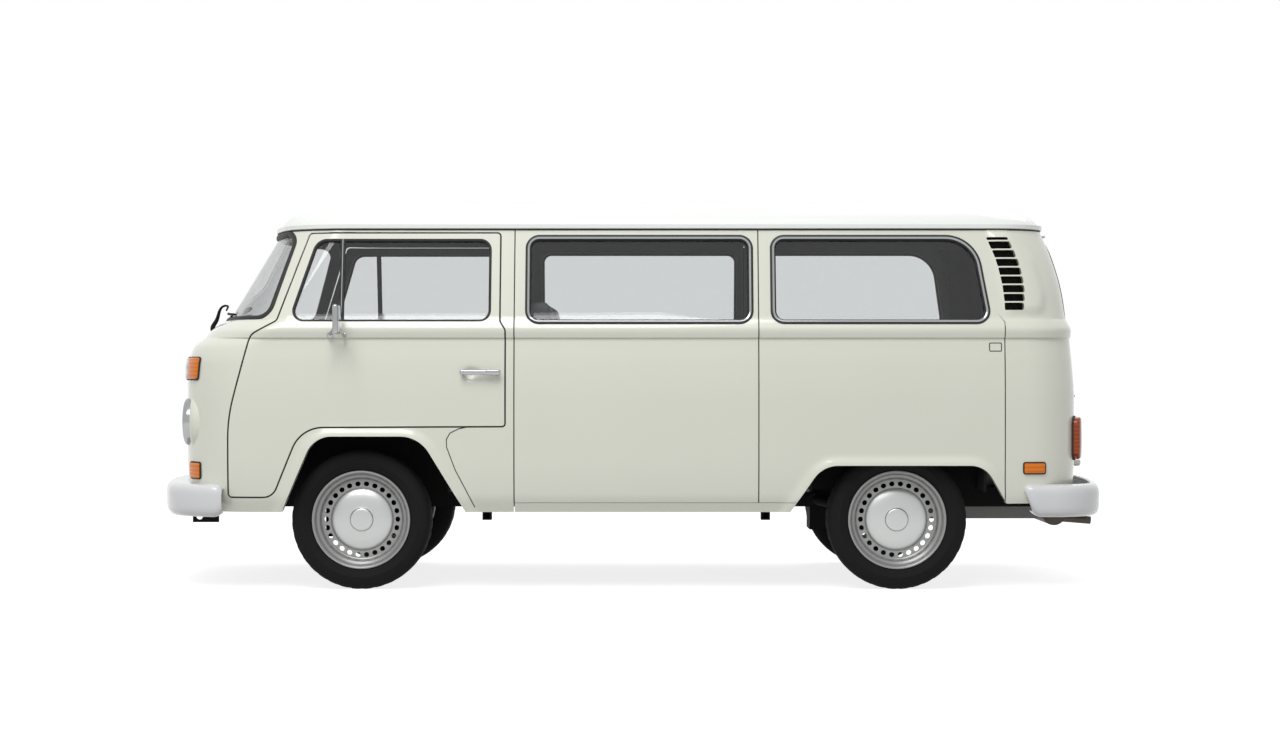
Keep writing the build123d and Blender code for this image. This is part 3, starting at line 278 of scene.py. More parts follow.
# %% Outline and skin helpers
def arcs(row, inset=0.0):
    """Centres and angles of one outline's arcs."""
    _, front, rear, half, crown, corner, tail_corner = row
    front, rear, half = front + inset, rear - inset, half - inset
    crown, corner = crown - inset, corner - inset
    tail_crown, tail_corner = TAIL_CROWN - inset, tail_corner - inset
    nose_x, tail_x = front + crown, rear - tail_crown
    reach = math.sqrt((crown - corner) ** 2 - (half - corner) ** 2)
    tail_reach = math.sqrt((tail_crown - tail_corner) ** 2 - (half - tail_corner) ** 2)
    return {
        "half": half, "crown": crown, "corner": corner, "tail_crown": tail_crown, "tail_corner": tail_corner,
        "nose_x": nose_x, "tail_x": tail_x, "corner_x": nose_x - reach, "tail_corner_x": tail_x + tail_reach,
        "nose_angle": math.atan2(half - corner, reach),
        "tail_angle": math.atan2(half - tail_corner, tail_reach),
    }


def half_outline(row, inset, counts):
    """Points (x, y, normal x, normal y) along +Y from the middle of the nose to the middle of the tail."""
    a = arcs(row, inset)
    nose, corner, side, tail_corner, tail = counts
    points = []
    for i in range(nose):
        t = a["nose_angle"] * i / nose
        points.append((a["nose_x"] - a["crown"] * math.cos(t), a["crown"] * math.sin(t),
                       -math.cos(t), math.sin(t)))
    for i in range(corner):
        t = a["nose_angle"] + (math.pi / 2 - a["nose_angle"]) * i / corner
        points.append((a["corner_x"] - a["corner"] * math.cos(t),
                       a["half"] - a["corner"] + a["corner"] * math.sin(t), -math.cos(t), math.sin(t)))
    for i in range(side):
        x = a["corner_x"] + (a["tail_corner_x"] - a["corner_x"]) * i / side
        points.append((x, a["half"], 0.0, 1.0))
    for i in range(tail_corner):
        t = math.pi / 2 - (math.pi / 2 - a["tail_angle"]) * i / tail_corner
        points.append((a["tail_corner_x"] + a["tail_corner"] * math.cos(t),
                       a["half"] - a["tail_corner"] + a["tail_corner"] * math.sin(t),
                       math.cos(t), math.sin(t)))
    for i in range(tail + 1):
        t = a["tail_angle"] * (1 - i / tail)
        points.append((a["tail_x"] + a["tail_crown"] * math.cos(t), a["tail_crown"] * math.sin(t),
                       math.cos(t), math.sin(t)))
    return points


def row_at(z):
    """The section row at any height."""
    return [np.interp(z, all_rows[:, 0], all_rows[:, i]) for i in range(7)]


def width_at(x, z, inset=0.0):
    """Half width of the skin at X and height."""
    a = arcs(row_at(z), inset)
    if x < a["corner_x"] - a["corner"] * math.cos(a["nose_angle"]):
        return math.sqrt(max(a["crown"] ** 2 - (x - a["nose_x"]) ** 2, 0))
    if x < a["corner_x"]:
        return a["half"] - a["corner"] + math.sqrt(max(a["corner"] ** 2 - (x - a["corner_x"]) ** 2, 0))
    if x < a["tail_corner_x"]:
        return a["half"]
    if x < a["tail_corner_x"] + a["tail_corner"] * math.cos(a["tail_angle"]):
        return a["half"] - a["tail_corner"] + math.sqrt(
            max(a["tail_corner"] ** 2 - (x - a["tail_corner_x"]) ** 2, 0))
    return math.sqrt(max(a["tail_crown"] ** 2 - (x - a["tail_x"]) ** 2, 0))


def nose_at(y, z, inset=0.0):
    """X of the nose at Y and height."""
    a = arcs(row_at(z), inset)
    y = abs(y)
    if y < a["crown"] * math.sin(a["nose_angle"]):
        return a["nose_x"] - math.sqrt(a["crown"] ** 2 - y**2)
    return a["corner_x"] - math.sqrt(max(a["corner"] ** 2 - (y - a["half"] + a["corner"]) ** 2, 0))


def tail_at(y, z, inset=0.0):
    """X of the tail at Y and height."""
    a = arcs(row_at(z), inset)
    y = abs(y)
    if y < a["tail_crown"] * math.sin(a["tail_angle"]):
        return a["tail_x"] + math.sqrt(a["tail_crown"] ** 2 - y**2)
    return a["tail_corner_x"] + math.sqrt(
        max(a["tail_corner"] ** 2 - (y - a["half"] + a["tail_corner"]) ** 2, 0))


# %% [markdown]
# Every opening and panel edge is a short list of corners with radii. Rounding them once gives the cutter for
# the panel, the path of its rubber and the line of its lip.

# %% Outlines of doors, windows, arches and lids
SCREEN_LOW, SCREEN_TOP = 1218, 1602
cab_door = [(-1785, 420, 12), (-1785, 768, 700), (-1687, 1137, 60), (-1571, 1200, 30), (-1436, 1594, 14),
            (-582, 1594, 12), (-582, 1200, 24), (-558, 1160, 24), (-558, 735, 10), (-1464, 731, 150),
            (-1591, 420, 60)]
cab_window = [(-1516, 1203, 46), (-1402, 1566, 60), (-623, 1566, 46), (-623, 1203, 46)]
middle_window = [(-453, 1199, 48), (-453, 1575, 48), (537, 1575, 48), (537, 1199, 48)]
rear_window = [(640, 1199, 48), (640, 1575, 48), (1538, 1575, 150), (1600, 1199, 48)]
screen_edge = [(-2150, SCREEN_LOW, 0), (-2150, SCREEN_TOP, 0), (-1498, SCREEN_TOP, 46),
               (-1616, SCREEN_LOW, 80)]
tail_seam = [(1670, 300, 0), (1670, 1195, 0), (1640, 1235, 0), (1548, 1640, 0), (2300, 1640, 0),
             (2300, 300, 0)]
tail_gap = [(1665, 290, 0), (1665, 1197, 0), (1640, 1235, 0), (1548, 1640, 0), (2300, 1640, 0),
            (2300, 290, 0)]
tailgate_edge = [(-615, 905, 90), (-590, 1596, 110), (590, 1596, 110), (615, 905, 90)]
tail_window = [(-535, 1215, 80), (-510, 1552, 80), (510, 1552, 80), (535, 1215, 80)]
lid_edge = [(-500, 520, 60), (-500, 858, 60), (500, 858, 60), (500, 520, 60)]
front_arch = [(-1572, 300, 0), (-1403, 688, 120), (-936, 688, 150), (-700, 300, 0)]
rear_arch = [(679, 300, 0), (857, 558, 130), (1576, 558, 110), (1728, 300, 0)]
FRONT_SEAM, REAR_SEAM, SILL_END = -515, 573, 760
PANEL_LOW, TAIL_LOW = 393, 389
DOOR_GAP = 7.5
HALF_SEAM = 2.7


def rounded(corners, grow=0.0, step=12.0):
    """Closed outline with round corners, grown outwards, with points about every step."""
    count = len(corners)
    area = sum(corners[i - 1][0] * corners[i][1] - corners[i][0] * corners[i - 1][1] for i in range(count))
    turn = 1 if area > 0 else -1
    points = []
    for i in range(count):
        here = Vector(corners[i][:2])
        into = (here - Vector(corners[i - 1][:2])).normalized()
        out = (Vector(corners[(i + 1) % count][:2]) - here).normalized()
        radius = corners[i][2]
        bend = math.atan2(into.x * out.y - into.y * out.x, into.dot(out))
        if not radius:
            normal = (Vector((into.y, -into.x)) + Vector((out.y, -out.x))) * turn
            normal = normal / max(normal.length_squared / 2, 1e-6)
            points.append(here + normal * grow)
            continue
        cut = radius * math.tan(abs(bend) / 2)
        start = here - into * cut
        side = 1 if bend > 0 else -1
        centre = start + Vector((-into.y, into.x)) * side * radius
        arms = max(2, int(abs(bend) * radius / step) + 2)
        for k in range(arms + 1):
            angle = bend * k / arms
            arm = start - centre
            arm = Vector((arm.x * math.cos(angle) - arm.y * math.sin(angle),
                          arm.x * math.sin(angle) + arm.y * math.cos(angle)))
            points.append(centre + arm * (1 + grow * side * turn / radius))
    dense = []
    for i, here in enumerate(points):
        after = points[(i + 1) % len(points)]
        parts = max(1, int((after - here).length / step))
        for k in range(parts):
            dense.append(here.lerp(after, k / parts))
    return dense


def measure_from(outline, x, z):
    """Distance from points to an outline, for whole arrays."""
    line = np.array([(p.x, p.y) for p in outline])
    x, z = np.asarray(x, float), np.asarray(z, float)
    return np.sqrt(((x[..., None] - line[:, 0]) ** 2 + (z[..., None] - line[:, 1]) ** 2).min(axis=-1))


# %% [markdown]
# Two pressings stand proud of the side: the lip rolled round each wheel arch and the scoop round the cooling
# louvres. A dish behind each door handle goes in. All are part of the skin, so the paint runs over them.

# %% Swellings of the skin
FLARE, FLARE_WIDTH, FLARE_TOP = 15, 48, 1000
SCOOP, SCOOP_WIDTH = 16, 42
HANDLE_DISH = (-705, 965, 58, 38)
DISH_DEPTH = 16
arch_lines = [rounded(front_arch, step=8), rounded(rear_arch, step=8)]
scoop_edge = [(1592, 1612, 10), (1702, 1612, 60), (1822, 1490, 120), (1868, 1330, 120), (1858, 1222, 60),
              (1672, 1222, 10)]
scoop_line = rounded(scoop_edge, step=8)


def inside(outline, x, z):
    """True where points lie inside a closed outline."""
    x, z = np.asarray(x, float), np.asarray(z, float)
    result = np.zeros(x.shape, bool)
    for i, here in enumerate(outline):
        before = outline[i - 1]
        crosses = (here.y > z) != (before.y > z)
        span = np.where(before.y == here.y, 1, before.y - here.y)
        result ^= crosses & (x < (before.x - here.x) * (z - here.y) / span + here.x)
    return result


def swell(x, z):
    """How far the side stands out at each X and height."""
    out = np.zeros(np.shape(x))
    for line in arch_lines:
        gap = measure_from(line, x, z)
        near = np.clip(1 - gap / FLARE_WIDTH, 0, 1)
        lip = np.where(inside(line, x, z), 1.0, near**2 * (3 - 2 * near))
        out = np.maximum(out, FLARE * lip * (z < FLARE_TOP))
    gap = np.clip(measure_from(scoop_line, x, z) / SCOOP_WIDTH, 0, 1)
    bulge = np.where(inside(scoop_line, x, z), gap**2 * (3 - 2 * gap), 0)
    dish = ((x - HANDLE_DISH[0]) / HANDLE_DISH[2]) ** 2 + ((z - HANDLE_DISH[1]) / HANDLE_DISH[3]) ** 2
    hollow = np.where(dish < 1, (1 - dish) ** 2, 0)
    return out + SCOOP * bulge - DISH_DEPTH * hollow


# %% Selection and mesh helpers
def select_only(*pieces):
    """Deselect everything, then select these and make the first active."""
    if bpy.context.object and bpy.context.object.mode != "OBJECT":
        bpy.ops.object.mode_set(mode="OBJECT")
    bpy.ops.object.select_all(action="DESELECT")
    for piece in pieces:
        piece.select_set(True)
    bpy.context.view_layer.objects.active = pieces[0]


def build(name, points, faces, scale=0.001):
    """A mesh object from points in millimetres and faces."""
    mesh = bpy.data.meshes.new(name)
    mesh.from_pydata([tuple(c * scale for c in p) for p in points], [], faces)
    mesh.update()
    piece = bpy.data.objects.new(name, mesh)
    scene.collection.objects.link(piece)
    return piece


def clean(piece, merge=0.00005):
    """Merge doubles and turn faces outwards."""
    select_only(piece)
    bpy.ops.object.mode_set(mode="EDIT")
    bpy.ops.mesh.select_all(action="SELECT")
    bpy.ops.mesh.remove_doubles(threshold=merge)
    bpy.ops.mesh.normals_make_consistent(inside=False)
    bpy.ops.object.mode_set(mode="OBJECT")
    return piece


def smooth(piece, angle=30):
    """Smooth shading up to an angle."""
    select_only(piece)
    bpy.ops.object.shade_smooth_by_angle(angle=math.radians(angle))
    return piece


def copy_of(piece, name):
    """A copy with its own mesh."""
    new = piece.copy()
    new.data = piece.data.copy()
    new.name = name
    scene.collection.objects.link(new)
    return new


def carve(piece, cutter, operation="DIFFERENCE"):
    """Boolean with a closed cutter, applied."""
    modifier = piece.modifiers.new("carve", "BOOLEAN")
    modifier.object = cutter
    modifier.operation = operation
    modifier.solver = "MANIFOLD"
    select_only(piece)
    bpy.ops.object.modifier_apply(modifier=modifier.name)
    return piece


def dress(piece, body, slot, *replaced, materials=()):
    """Give a finished piece its materials and its body. Its slot is not used."""
    if materials:
        piece.data.materials.clear()
    for material in materials:
        piece.data.materials.append(material)
    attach(piece, body)
    if replaced:
        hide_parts(*replaced)
    return piece


def skin_solid(name, rows, inset=0.0, counts=(40, 26, 250, 22, 36), proud=False):
    """Closed solid inside the skin, drawn in by inset."""
    loops = []
    for row in rows:
        half = half_outline(row, inset, counts)
        if proud:
            xs = np.array([p[0] for p in half])
            reach = swell(xs, np.full(len(xs), row[0]))
            half = [(x + nx * d, y + ny * d, nx, ny) for (x, y, nx, ny), d in zip(half, reach)]
        loop = [(x, y, row[0]) for x, y, _, _ in half]
        loop += [(x, -y, row[0]) for x, y, _, _ in reversed(half[1:-1])]
        loops.append(loop)
    columns = len(loops[0])
    faces = [(r * columns + c, r * columns + (c + 1) % columns,
              (r + 1) * columns + (c + 1) % columns, (r + 1) * columns + c)
             for r in range(len(rows) - 1) for c in range(columns)]
    faces.append(tuple(reversed(range(columns))))
    faces.append(tuple(range((len(rows) - 1) * columns, len(rows) * columns)))
    return clean(build(name, [p for loop in loops for p in loop], faces), 0.000001)


def prism(name, near, far):
    """Closed solid between two loops with the same number of points."""
    count = len(near)
    faces = [tuple(range(count)), tuple(reversed(range(count, 2 * count)))]
    faces += [(i, (i + 1) % count, (i + 1) % count + count, i + count) for i in range(count)]
    return clean(build(name, [*near, *far], faces))


LEFT_OUT, RIGHT_OUT = -1000, 1000
NOSE_OUT, TAIL_OUT = -2400, 2300
BELOW, ABOVE = 300, 1700


def side_cutter(name, corners, grow=0.0):
    """Side-view outline run across the body."""
    line = rounded(corners, grow)
    return prism(name, [(p.x, LEFT_OUT, p.y) for p in line], [(p.x, RIGHT_OUT, p.y) for p in line])


def tail_cutter(name, corners, grow=0.0, start=1700):
    """Rear-view outline run through the tail."""
    line = rounded(corners, grow)
    return prism(name, [(start, p.x, p.y) for p in line], [(TAIL_OUT, p.x, p.y) for p in line])


def block(name, x1, x2, y1, y2, z1, z2):
    """Box between two corners."""
    bpy.ops.mesh.primitive_cube_add(size=1, location=(0, 0, 0))
    piece = bpy.context.object
    piece.name = name
    for vertex in piece.data.vertices:
        c = vertex.co
        vertex.co = ((x1 if c.x < 0 else x2) * 0.001, (y1 if c.y < 0 else y2) * 0.001,
                     (z1 if c.z < 0 else z2) * 0.001)
    return piece


# %% [markdown]
# The shell is one solid skin less another drawn in by the wall. It is cut into panels the way the real body
# is pressed and welded, each cut using the outlines above, and a gap is left where doors and lids shut.

# %% Shell
GLASS_THICKNESS = 6
OVERRUN = 5
outer_solid = skin_solid("outer_solid", body_rows, 0.0, proud=True)
tall = [np.array([SILL_Z - OVERRUN, *lower_rows[0][1:]])] + body_rows[::3] + [body_rows[-1]]
tall.append(np.array([CANT_Z + OVERRUN, *body_rows[-1][1:]]))
coarse = (24, 14, 60, 12, 24)
inner_solid = skin_solid("inner_solid", tall, WALL, coarse)
glass_outer = skin_solid("glass_outer", body_rows[::2] + [body_rows[-1]], GLASS_DEPTH)
glass_inner = skin_solid("glass_inner", tall, GLASS_DEPTH + GLASS_THICKNESS)
shell = carve(copy_of(outer_solid, "shell"), inner_solid)
panes = carve(copy_of(glass_outer, "panes"), glass_inner)
print("shell faces:", len(shell.data.polygons), "pane faces:", len(panes.data.polygons))

# %% Cutters
SILL_GAP = 2
REAR_PANEL_END, TAIL_START = 1760, 1500
across_body = (LEFT_OUT, RIGHT_OUT)
left_half, right_half = (LEFT_OUT, 0), (0, RIGHT_OUT)
middle_run = (FRONT_SEAM + HALF_SEAM, REAR_SEAM - HALF_SEAM)
rear_run = (REAR_SEAM + HALF_SEAM, REAR_PANEL_END)
cut = {
    "door": side_cutter("cut_door", cab_door),
    "door_hole": side_cutter("cut_door_hole", cab_door, DOOR_GAP),
    "front_arch": side_cutter("cut_front_arch", front_arch),
    "rear_arch": side_cutter("cut_rear_arch", rear_arch),
    "cab_window": side_cutter("cut_cab_window", cab_window),
    "middle_window": side_cutter("cut_middle_window", middle_window),
    "rear_window": side_cutter("cut_rear_window", rear_window),
    "screen": side_cutter("cut_screen", screen_edge),
    "tail_seam": side_cutter("cut_tail_seam", tail_seam),
    "tail_gap": side_cutter("cut_tail_gap", tail_gap),
    "tailgate": tail_cutter("cut_tailgate", tailgate_edge),
    "tailgate_hole": tail_cutter("cut_tailgate_hole", tailgate_edge, DOOR_GAP),
    "tail_window": tail_cutter("cut_tail_window", tail_window),
    "lid": tail_cutter("cut_lid", lid_edge),
    "lid_hole": tail_cutter("cut_lid_hole", lid_edge, DOOR_GAP),
    "front": block("cut_front", NOSE_OUT, FRONT_SEAM - HALF_SEAM, *across_body, BELOW, ABOVE),
    "middle_left": block("cut_middle_left", *middle_run, *left_half, PANEL_LOW, ABOVE),
    "middle_right": block("cut_middle_right", *middle_run, *right_half, PANEL_LOW, ABOVE),
    "rear_left": block("cut_rear_left", *rear_run, *left_half, PANEL_LOW, ABOVE),
    "rear_right": block("cut_rear_right", *rear_run, *right_half, PANEL_LOW, ABOVE),
    "sill": block("cut_sill", FRONT_SEAM + SILL_GAP, SILL_END, *across_body, BELOW, PANEL_LOW - SILL_GAP),
    "tail": block("cut_tail", TAIL_START, TAIL_OUT, *across_body, TAIL_LOW, ABOVE),
    "left": block("cut_left", NOSE_OUT, FRONT_SEAM, *left_half, BELOW, ABOVE),
    "right": block("cut_right", NOSE_OUT, FRONT_SEAM, *right_half, BELOW, ABOVE),
}

# Front and rear X of each louvre from the lowest up. The last is the short one at the top.
louvre_edges = [(1670, 1754), (1669, 1759), (1665, 1760), (1660, 1757), (1652, 1750), (1643, 1741),
                (1632, 1728), (1617, 1712), (1600, 1694)]
LOUVRE_Z, LOUVRE_PITCH = 1250, 39.4
LOUVRE_HIGH, TOP_LOUVRE_HIGH = 33, 13
LOUVRE_ROUND, TOP_LOUVRE_ROUND = 8, 4
TOP_LEAN = -0.4


def louvre_slot(index):
    """One louvre opening through both sides, leaning with the line of the louvres above it."""
    front, rear = louvre_edges[index]
    z = LOUVRE_Z + index * LOUVRE_PITCH
    high, soft, lean = TOP_LOUVRE_HIGH, TOP_LOUVRE_ROUND, TOP_LEAN
    if index < len(louvre_edges) - 1:
        high, soft = LOUVRE_HIGH, LOUVRE_ROUND
        lean = (louvre_edges[index + 1][0] - front) / LOUVRE_PITCH
    shift = lean * high
    corners = [(front, z, 4), (rear, z, soft), (rear + shift, z + high, soft), (front + shift, z + high, 4)]
    return side_cutter(f"cut_louvre_{index}", corners)


louvre_cuts = [louvre_slot(index) for index in range(len(louvre_edges))]
GRILLE_ROWS, GRILLE_PITCH, GRILLE_SLOT, GRILLE_Z, GRILLE_HALF = 4, 20, 9, 1018, 290
grille_cuts = []
for row in range(GRILLE_ROWS):
    low = GRILLE_Z + GRILLE_PITCH * row
    grille_cuts.append(block(f"cut_grille_{row}", -2150, -1950, -GRILLE_HALF, GRILLE_HALF, low,
                             low + GRILLE_SLOT))


def panel(name, keep, remove):
    """A piece of the shell: kept inside some cutters and cut by others."""
    piece = copy_of(shell, name)
    for key in keep:
        carve(piece, cut[key], "INTERSECT")
    for key in remove:
        carve(piece, cut[key] if isinstance(key, str) else key)
    return piece


# %% Panels
panels = {
    "front_body": panel("front_panel", ["front"], ["door_hole", "front_arch", "screen", *grille_cuts]),
    "side_panel_left": panel("middle_panel_left", ["middle_left"], ["middle_window"]),
    "sliding_door": panel("sliding_door_skin", ["middle_right"], ["middle_window"]),
    "rear_side_left": panel("rear_panel_left", ["rear_left"], ["tail_gap", "rear_window", "rear_arch"]),
    "rear_side_right": panel("rear_panel_right", ["rear_right"], ["tail_gap", "rear_window", "rear_arch"]),
    "tail_body": panel("tail_panel", ["tail_seam", "tail"],
                       ["tailgate_hole", "lid_hole", "rear_arch", *louvre_cuts]),
    "sills": panel("sill_panels", ["sill"], ["rear_arch"]),
    "cab_door_left": panel("cab_door_skin_left", ["left", "door"], ["cab_window"]),
    "cab_door_right": panel("cab_door_skin_right", ["right", "door"], ["cab_window"]),
    "tailgate": panel("tailgate_skin", ["tailgate"], ["tail_window"]),
    "engine_lid": panel("engine_lid_skin", ["lid"], []),
}
for node, piece in panels.items():
    print(node, "faces:", len(piece.data.polygons))


SPINE_FRONT, SPINE_REAR, SPINE_TOP = -1.5, 1.6, 1.3
LOOKS_IN = -0.45


def line_inside(piece, outside_material, inside_material):
    """Paint outside and on edges, trim on the faces that look at the spine of the cabin."""
    piece.data.materials.clear()
    piece.data.materials.append(outside_material)
    piece.data.materials.append(inside_material)
    for face in piece.data.polygons:
        centre, normal = face.center, face.normal
        spine = Vector((min(max(centre.x, SPINE_FRONT), SPINE_REAR), 0, min(centre.z, SPINE_TOP)))
        if normal.dot((centre - spine).normalized()) < LOOKS_IN:
            face.material_index = 1


bodies = {node: "body" for node in panels}
bodies.update(cab_door_left="cab_door_left", cab_door_right="cab_door_right", tailgate="tailgate",
              engine_lid="engine_lid")
for node, piece in panels.items():
    line_inside(piece, body_paint, trim_board)
    smooth(piece, 25)
    dress(piece, bodies[node], "body_paint", node)

# %% [markdown]
# The roof is one pressing with a drip rail spot-welded round its edge. It is the same skin carried on
# upwards, hollow below, with the rail swept round it as a small gutter.

# %% Roof
ROOF_WALL = 28
roof_outer = skin_solid("roof_skin", roof_rows, 0.0, (30, 26, 90, 24, 30))
roof_inner_rows = [np.array([CANT_Z - OVERRUN, *roof_rows[0][1:]])]
roof_inner_rows += [np.array([row[0] - ROOF_WALL, *row[1:]]) for row in roof_rows[1:]
                    if row[0] - ROOF_WALL > CANT_Z - 3]
roof_inner = skin_solid("roof_inner", roof_inner_rows, ROOF_WALL, coarse)
roof = carve(roof_outer, roof_inner)
line_inside(roof, roof_paint, headlining)
smooth(roof, 25)
dress(roof, "body", "roof_paint", "roof_panel")


# %% Sweep helper
def sweep(name, path, normals, profile, closed=True):
    """Run a profile of (across, out) points along a path that lies on the skin.

    Round a closed path, across is positive away from the middle of the loop.
    """
    count, size = len(path), len(profile)
    if closed:
        middle = sum(path, Vector()) / count
        if (path[1] - path[0]).cross(normals[0]).dot(path[0] - middle) < 0:
            path, normals = list(reversed(path)), list(reversed(normals))
    points = []
    for i, here in enumerate(path):
        before = path[i - 1] if closed or i else here
        after = path[(i + 1) % count] if closed or i < count - 1 else here
        along = (after - before).normalized()
        out = normals[i].normalized()
        across = along.cross(out).normalized()
        points += [here + across * a + out * b for a, b in profile]
    laps = count if closed else count - 1
    faces = [(i * size + k, i * size + (k + 1) % size,
              ((i + 1) % count) * size + (k + 1) % size, ((i + 1) % count) * size + k)
             for i in range(laps) for k in range(size)]
    if not closed:
        faces += [tuple(reversed(range(size))), tuple(range((count - 1) * size, count * size))]
    return clean(build(name, points, faces), 0.00001)


def rubber(name, path, normals, profile, body="body", closed=True, angle=40):
    """A swept black strip on a body, smooth up to an angle or left flat. Most are rubber; under the drip rail and
    in the small seams its black is painted shade.
    """
    piece = sweep(name, path, normals, profile, closed)
    if angle:
        smooth(piece, angle)
    return dress(piece, body, "window_glass", materials=[rubber_and_shade_black])


def side_path(line, side, inset=0.0):
    """Points and normals on one side of the skin above a side-view line."""
    path, normals = [], []
    for p in line:
        y = width_at(p.x, p.y, inset)
        dx = (width_at(p.x + 2, p.y, inset) - width_at(p.x - 2, p.y, inset)) / 4
        dz = (width_at(p.x, p.y + 2, inset) - width_at(p.x, p.y - 2, inset)) / 4
        path.append(Vector((p.x, side * y, p.y)))
        normals.append(Vector((-dx, side, -dz)))
    return path, normals


def tail_path(line, inset=0.0):
    """Points and normals on the tail above a rear-view line."""
    path, normals = [], []
    for p in line:
        path.append(Vector((tail_at(p.x, p.y, inset), p.x, p.y)))
        dy = (tail_at(p.x + 2, p.y, inset) - tail_at(p.x - 2, p.y, inset)) / 4
        dz = (tail_at(p.x, p.y + 2, inset) - tail_at(p.x, p.y - 2, inset)) / 4
        normals.append(Vector((1, -dy, -dz)))
    return path, normals


# %% [markdown]
# Each fixed window is glass held in a black rubber section. The rubber overlaps the paint outside, is full in
# the middle, and turns in to grip the glass. Sweeping one profile along each outline gives all of them.

# %% Window rubbers and glass
seal_profile = [(-12, -12), (-12, -3), (-9, 2), (0, 6), (8, 6), (13, 3), (14, 0), (14, -2), (0, -2), (0, -13)]
trim_profile = [(-6, 3.5), (-5, 6.5), (-1, 8.5), (3, 8.5), (5, 6)]


def joined(name, pieces):
    """Join pieces into the first and name it."""
    select_only(*pieces)
    bpy.ops.object.join()
    pieces[0].name = name
    return pieces[0]


outlines = {}
for side, tag in ((-1, "left"), (1, "right")):
    for label, corners in (("middle", middle_window), ("rear", rear_window)):
        outlines[f"{label}_%s_{tag}"] = side_path(rounded(corners), side)
pane_pieces = [carve(copy_of(panes, f"{key}_panes"), cut[key], "INTERSECT")
               for key in ("middle_window", "rear_window")]
fixed_glass = joined("fixed_side_glass", pane_pieces)
smooth(fixed_glass)
dress(fixed_glass, "body", "window_glass", "side_glass", materials=[window_glass])
for label, (path, normals) in outlines.items():
    rubber(label % "rubber", path, normals, seal_profile)
for label, (path, normals) in outlines.items():
    strip = smooth(sweep(label % "trim", path, normals, trim_profile), 40)
    dress(strip, "body", "chrome", materials=[bright_trim])
for name, key, body, node in (("windscreen_pane", "screen", "body", "windscreen"),
                              ("tailgate_pane", "tail_window", "tailgate", "tailgate_glass")):
    pane = smooth(carve(copy_of(panes, name), cut[key], "INTERSECT"))
    dress(pane, body, "window_glass", node, materials=[window_glass])
path, normals = tail_path(rounded(tail_window))
rubber("tailgate_rubber", path, normals, seal_profile, "tailgate")

# %% Windscreen rubber
edge_line = [p for p in rounded(screen_edge) if p.x > -1800 and width_at(p.x, p.y) > 600]
edge_line.sort(key=lambda p: math.atan2(p.y - 1400, p.x + 1900))
screen_points, screen_normals = side_path(edge_line, 1)


def nose_path(z, y1, y2, count):
    """Points and normals across the nose at one height."""
    path, normals = [], []
    for i in range(count + 1):
        y = y1 + (y2 - y1) * i / count
        x = nose_at(y, z)
        dy = (nose_at(y + 2, z) - nose_at(y - 2, z)) / 4
        dz = (nose_at(y, z + 2) - nose_at(y, z - 2)) / 4
        path.append(Vector((x, y, z)))
        normals.append(Vector((-1, dy, dz)))
    return path, normals


JOIN = 6
top_y = screen_points[-1].y - JOIN
low_y = screen_points[0].y - JOIN
top_path, top_normals = nose_path(SCREEN_TOP, top_y, -top_y, 60)
left_points, left_normals = side_path(list(reversed(edge_line)), -1)
low_path, low_normals = nose_path(SCREEN_LOW, -low_y, low_y, 60)
ring = screen_points + top_path + left_points + low_path
ring_normals = screen_normals + top_normals + left_normals + low_normals
rubber("windscreen_rubber", ring, ring_normals, seal_profile)

# %% Cab door windows
QUARTER_BAR_X = -1285
door_rubber_profile = [(-7, -12), (-7, -3), (-5, -0.5), (1, 2), (4, 1.5), (5, 0), (0, -2), (0, -13)]
bar_profile = [(-11, -16), (-11, -1), (-8, 1), (8, 1), (11, -1), (11, -16)]
bar_trim_profile = [(-3, 1), (-2, 3), (2, 3), (3, 1)]
for side, tag in ((-1, "left"), (1, "right")):
    door = f"cab_door_{tag}"
    pane = carve(copy_of(panes, f"cab_pane_{tag}"), cut["cab_window"], "INTERSECT")
    carve(pane, cut[tag], "INTERSECT")
    smooth(pane)
    dress(pane, door, "window_glass", f"cab_glass_{tag}", materials=[window_glass])
    path, normals = side_path(rounded(cab_window), side)
    rubber(f"cab_window_rubber_{tag}", path, normals, door_rubber_profile, door)
    bar = [Vector((QUARTER_BAR_X, z)) for z in range(1200, 1571, 10)]
    path, normals = side_path(bar, side)
    rubber(f"quarter_bar_{tag}", path, normals, bar_profile, door, closed=False)
    strip = sweep(f"quarter_bar_trim_{tag}", path, normals, bar_trim_profile, closed=False)
    dress(smooth(strip, 40), door, "chrome", materials=[bright_trim])


# %% Drip rail
def skin_ring(z, count=(30, 20, 80, 18, 30)):
    """Points and normals all round the skin at one height."""
    half = half_outline(row_at(z), 0, count)
    path = [Vector((x, y, z)) for x, y, _, _ in half]
    normals = [Vector((nx, ny, 0)) for _, _, nx, ny in half]
    path += [Vector((x, -y, z)) for x, y, _, _ in reversed(half[1:-1])]
    normals += [Vector((nx, -ny, 0)) for _, _, nx, ny in reversed(half[1:-1])]
    return path, normals


# The thin black ring at the lower height is painted shadow: it stands for the shade under the drip rail.
RAIL_Z, RAIL_SHADOW_Z = 1620, 1612
rail_profile = [(-3, -14), (-3, 12), (-1, 14), (16, 14), (18, 12), (18, 10), (2, 9), (2, -14)]
rail = smooth(sweep("drip_rail", *skin_ring(RAIL_Z), rail_profile), 35)
dress(rail, "body", "roof_paint", materials=[roof_paint])
# Painted shadow: a thin black ring just under the rail, for the shade the gutter casts on the body.
rubber("rail_painted_shadow", *skin_ring(RAIL_SHADOW_Z), [(-3.5, -6), (-3.5, 1.4), (3.5, 2.6), (3.5, -6)], angle=35)

# %% [markdown]
# Pressed bumpers wrap round each end. Their section is a shallow channel with rounded edges, drawn here as a
# ring of points that follows the plan of the bumper, so the corners bend as the real pressing does.

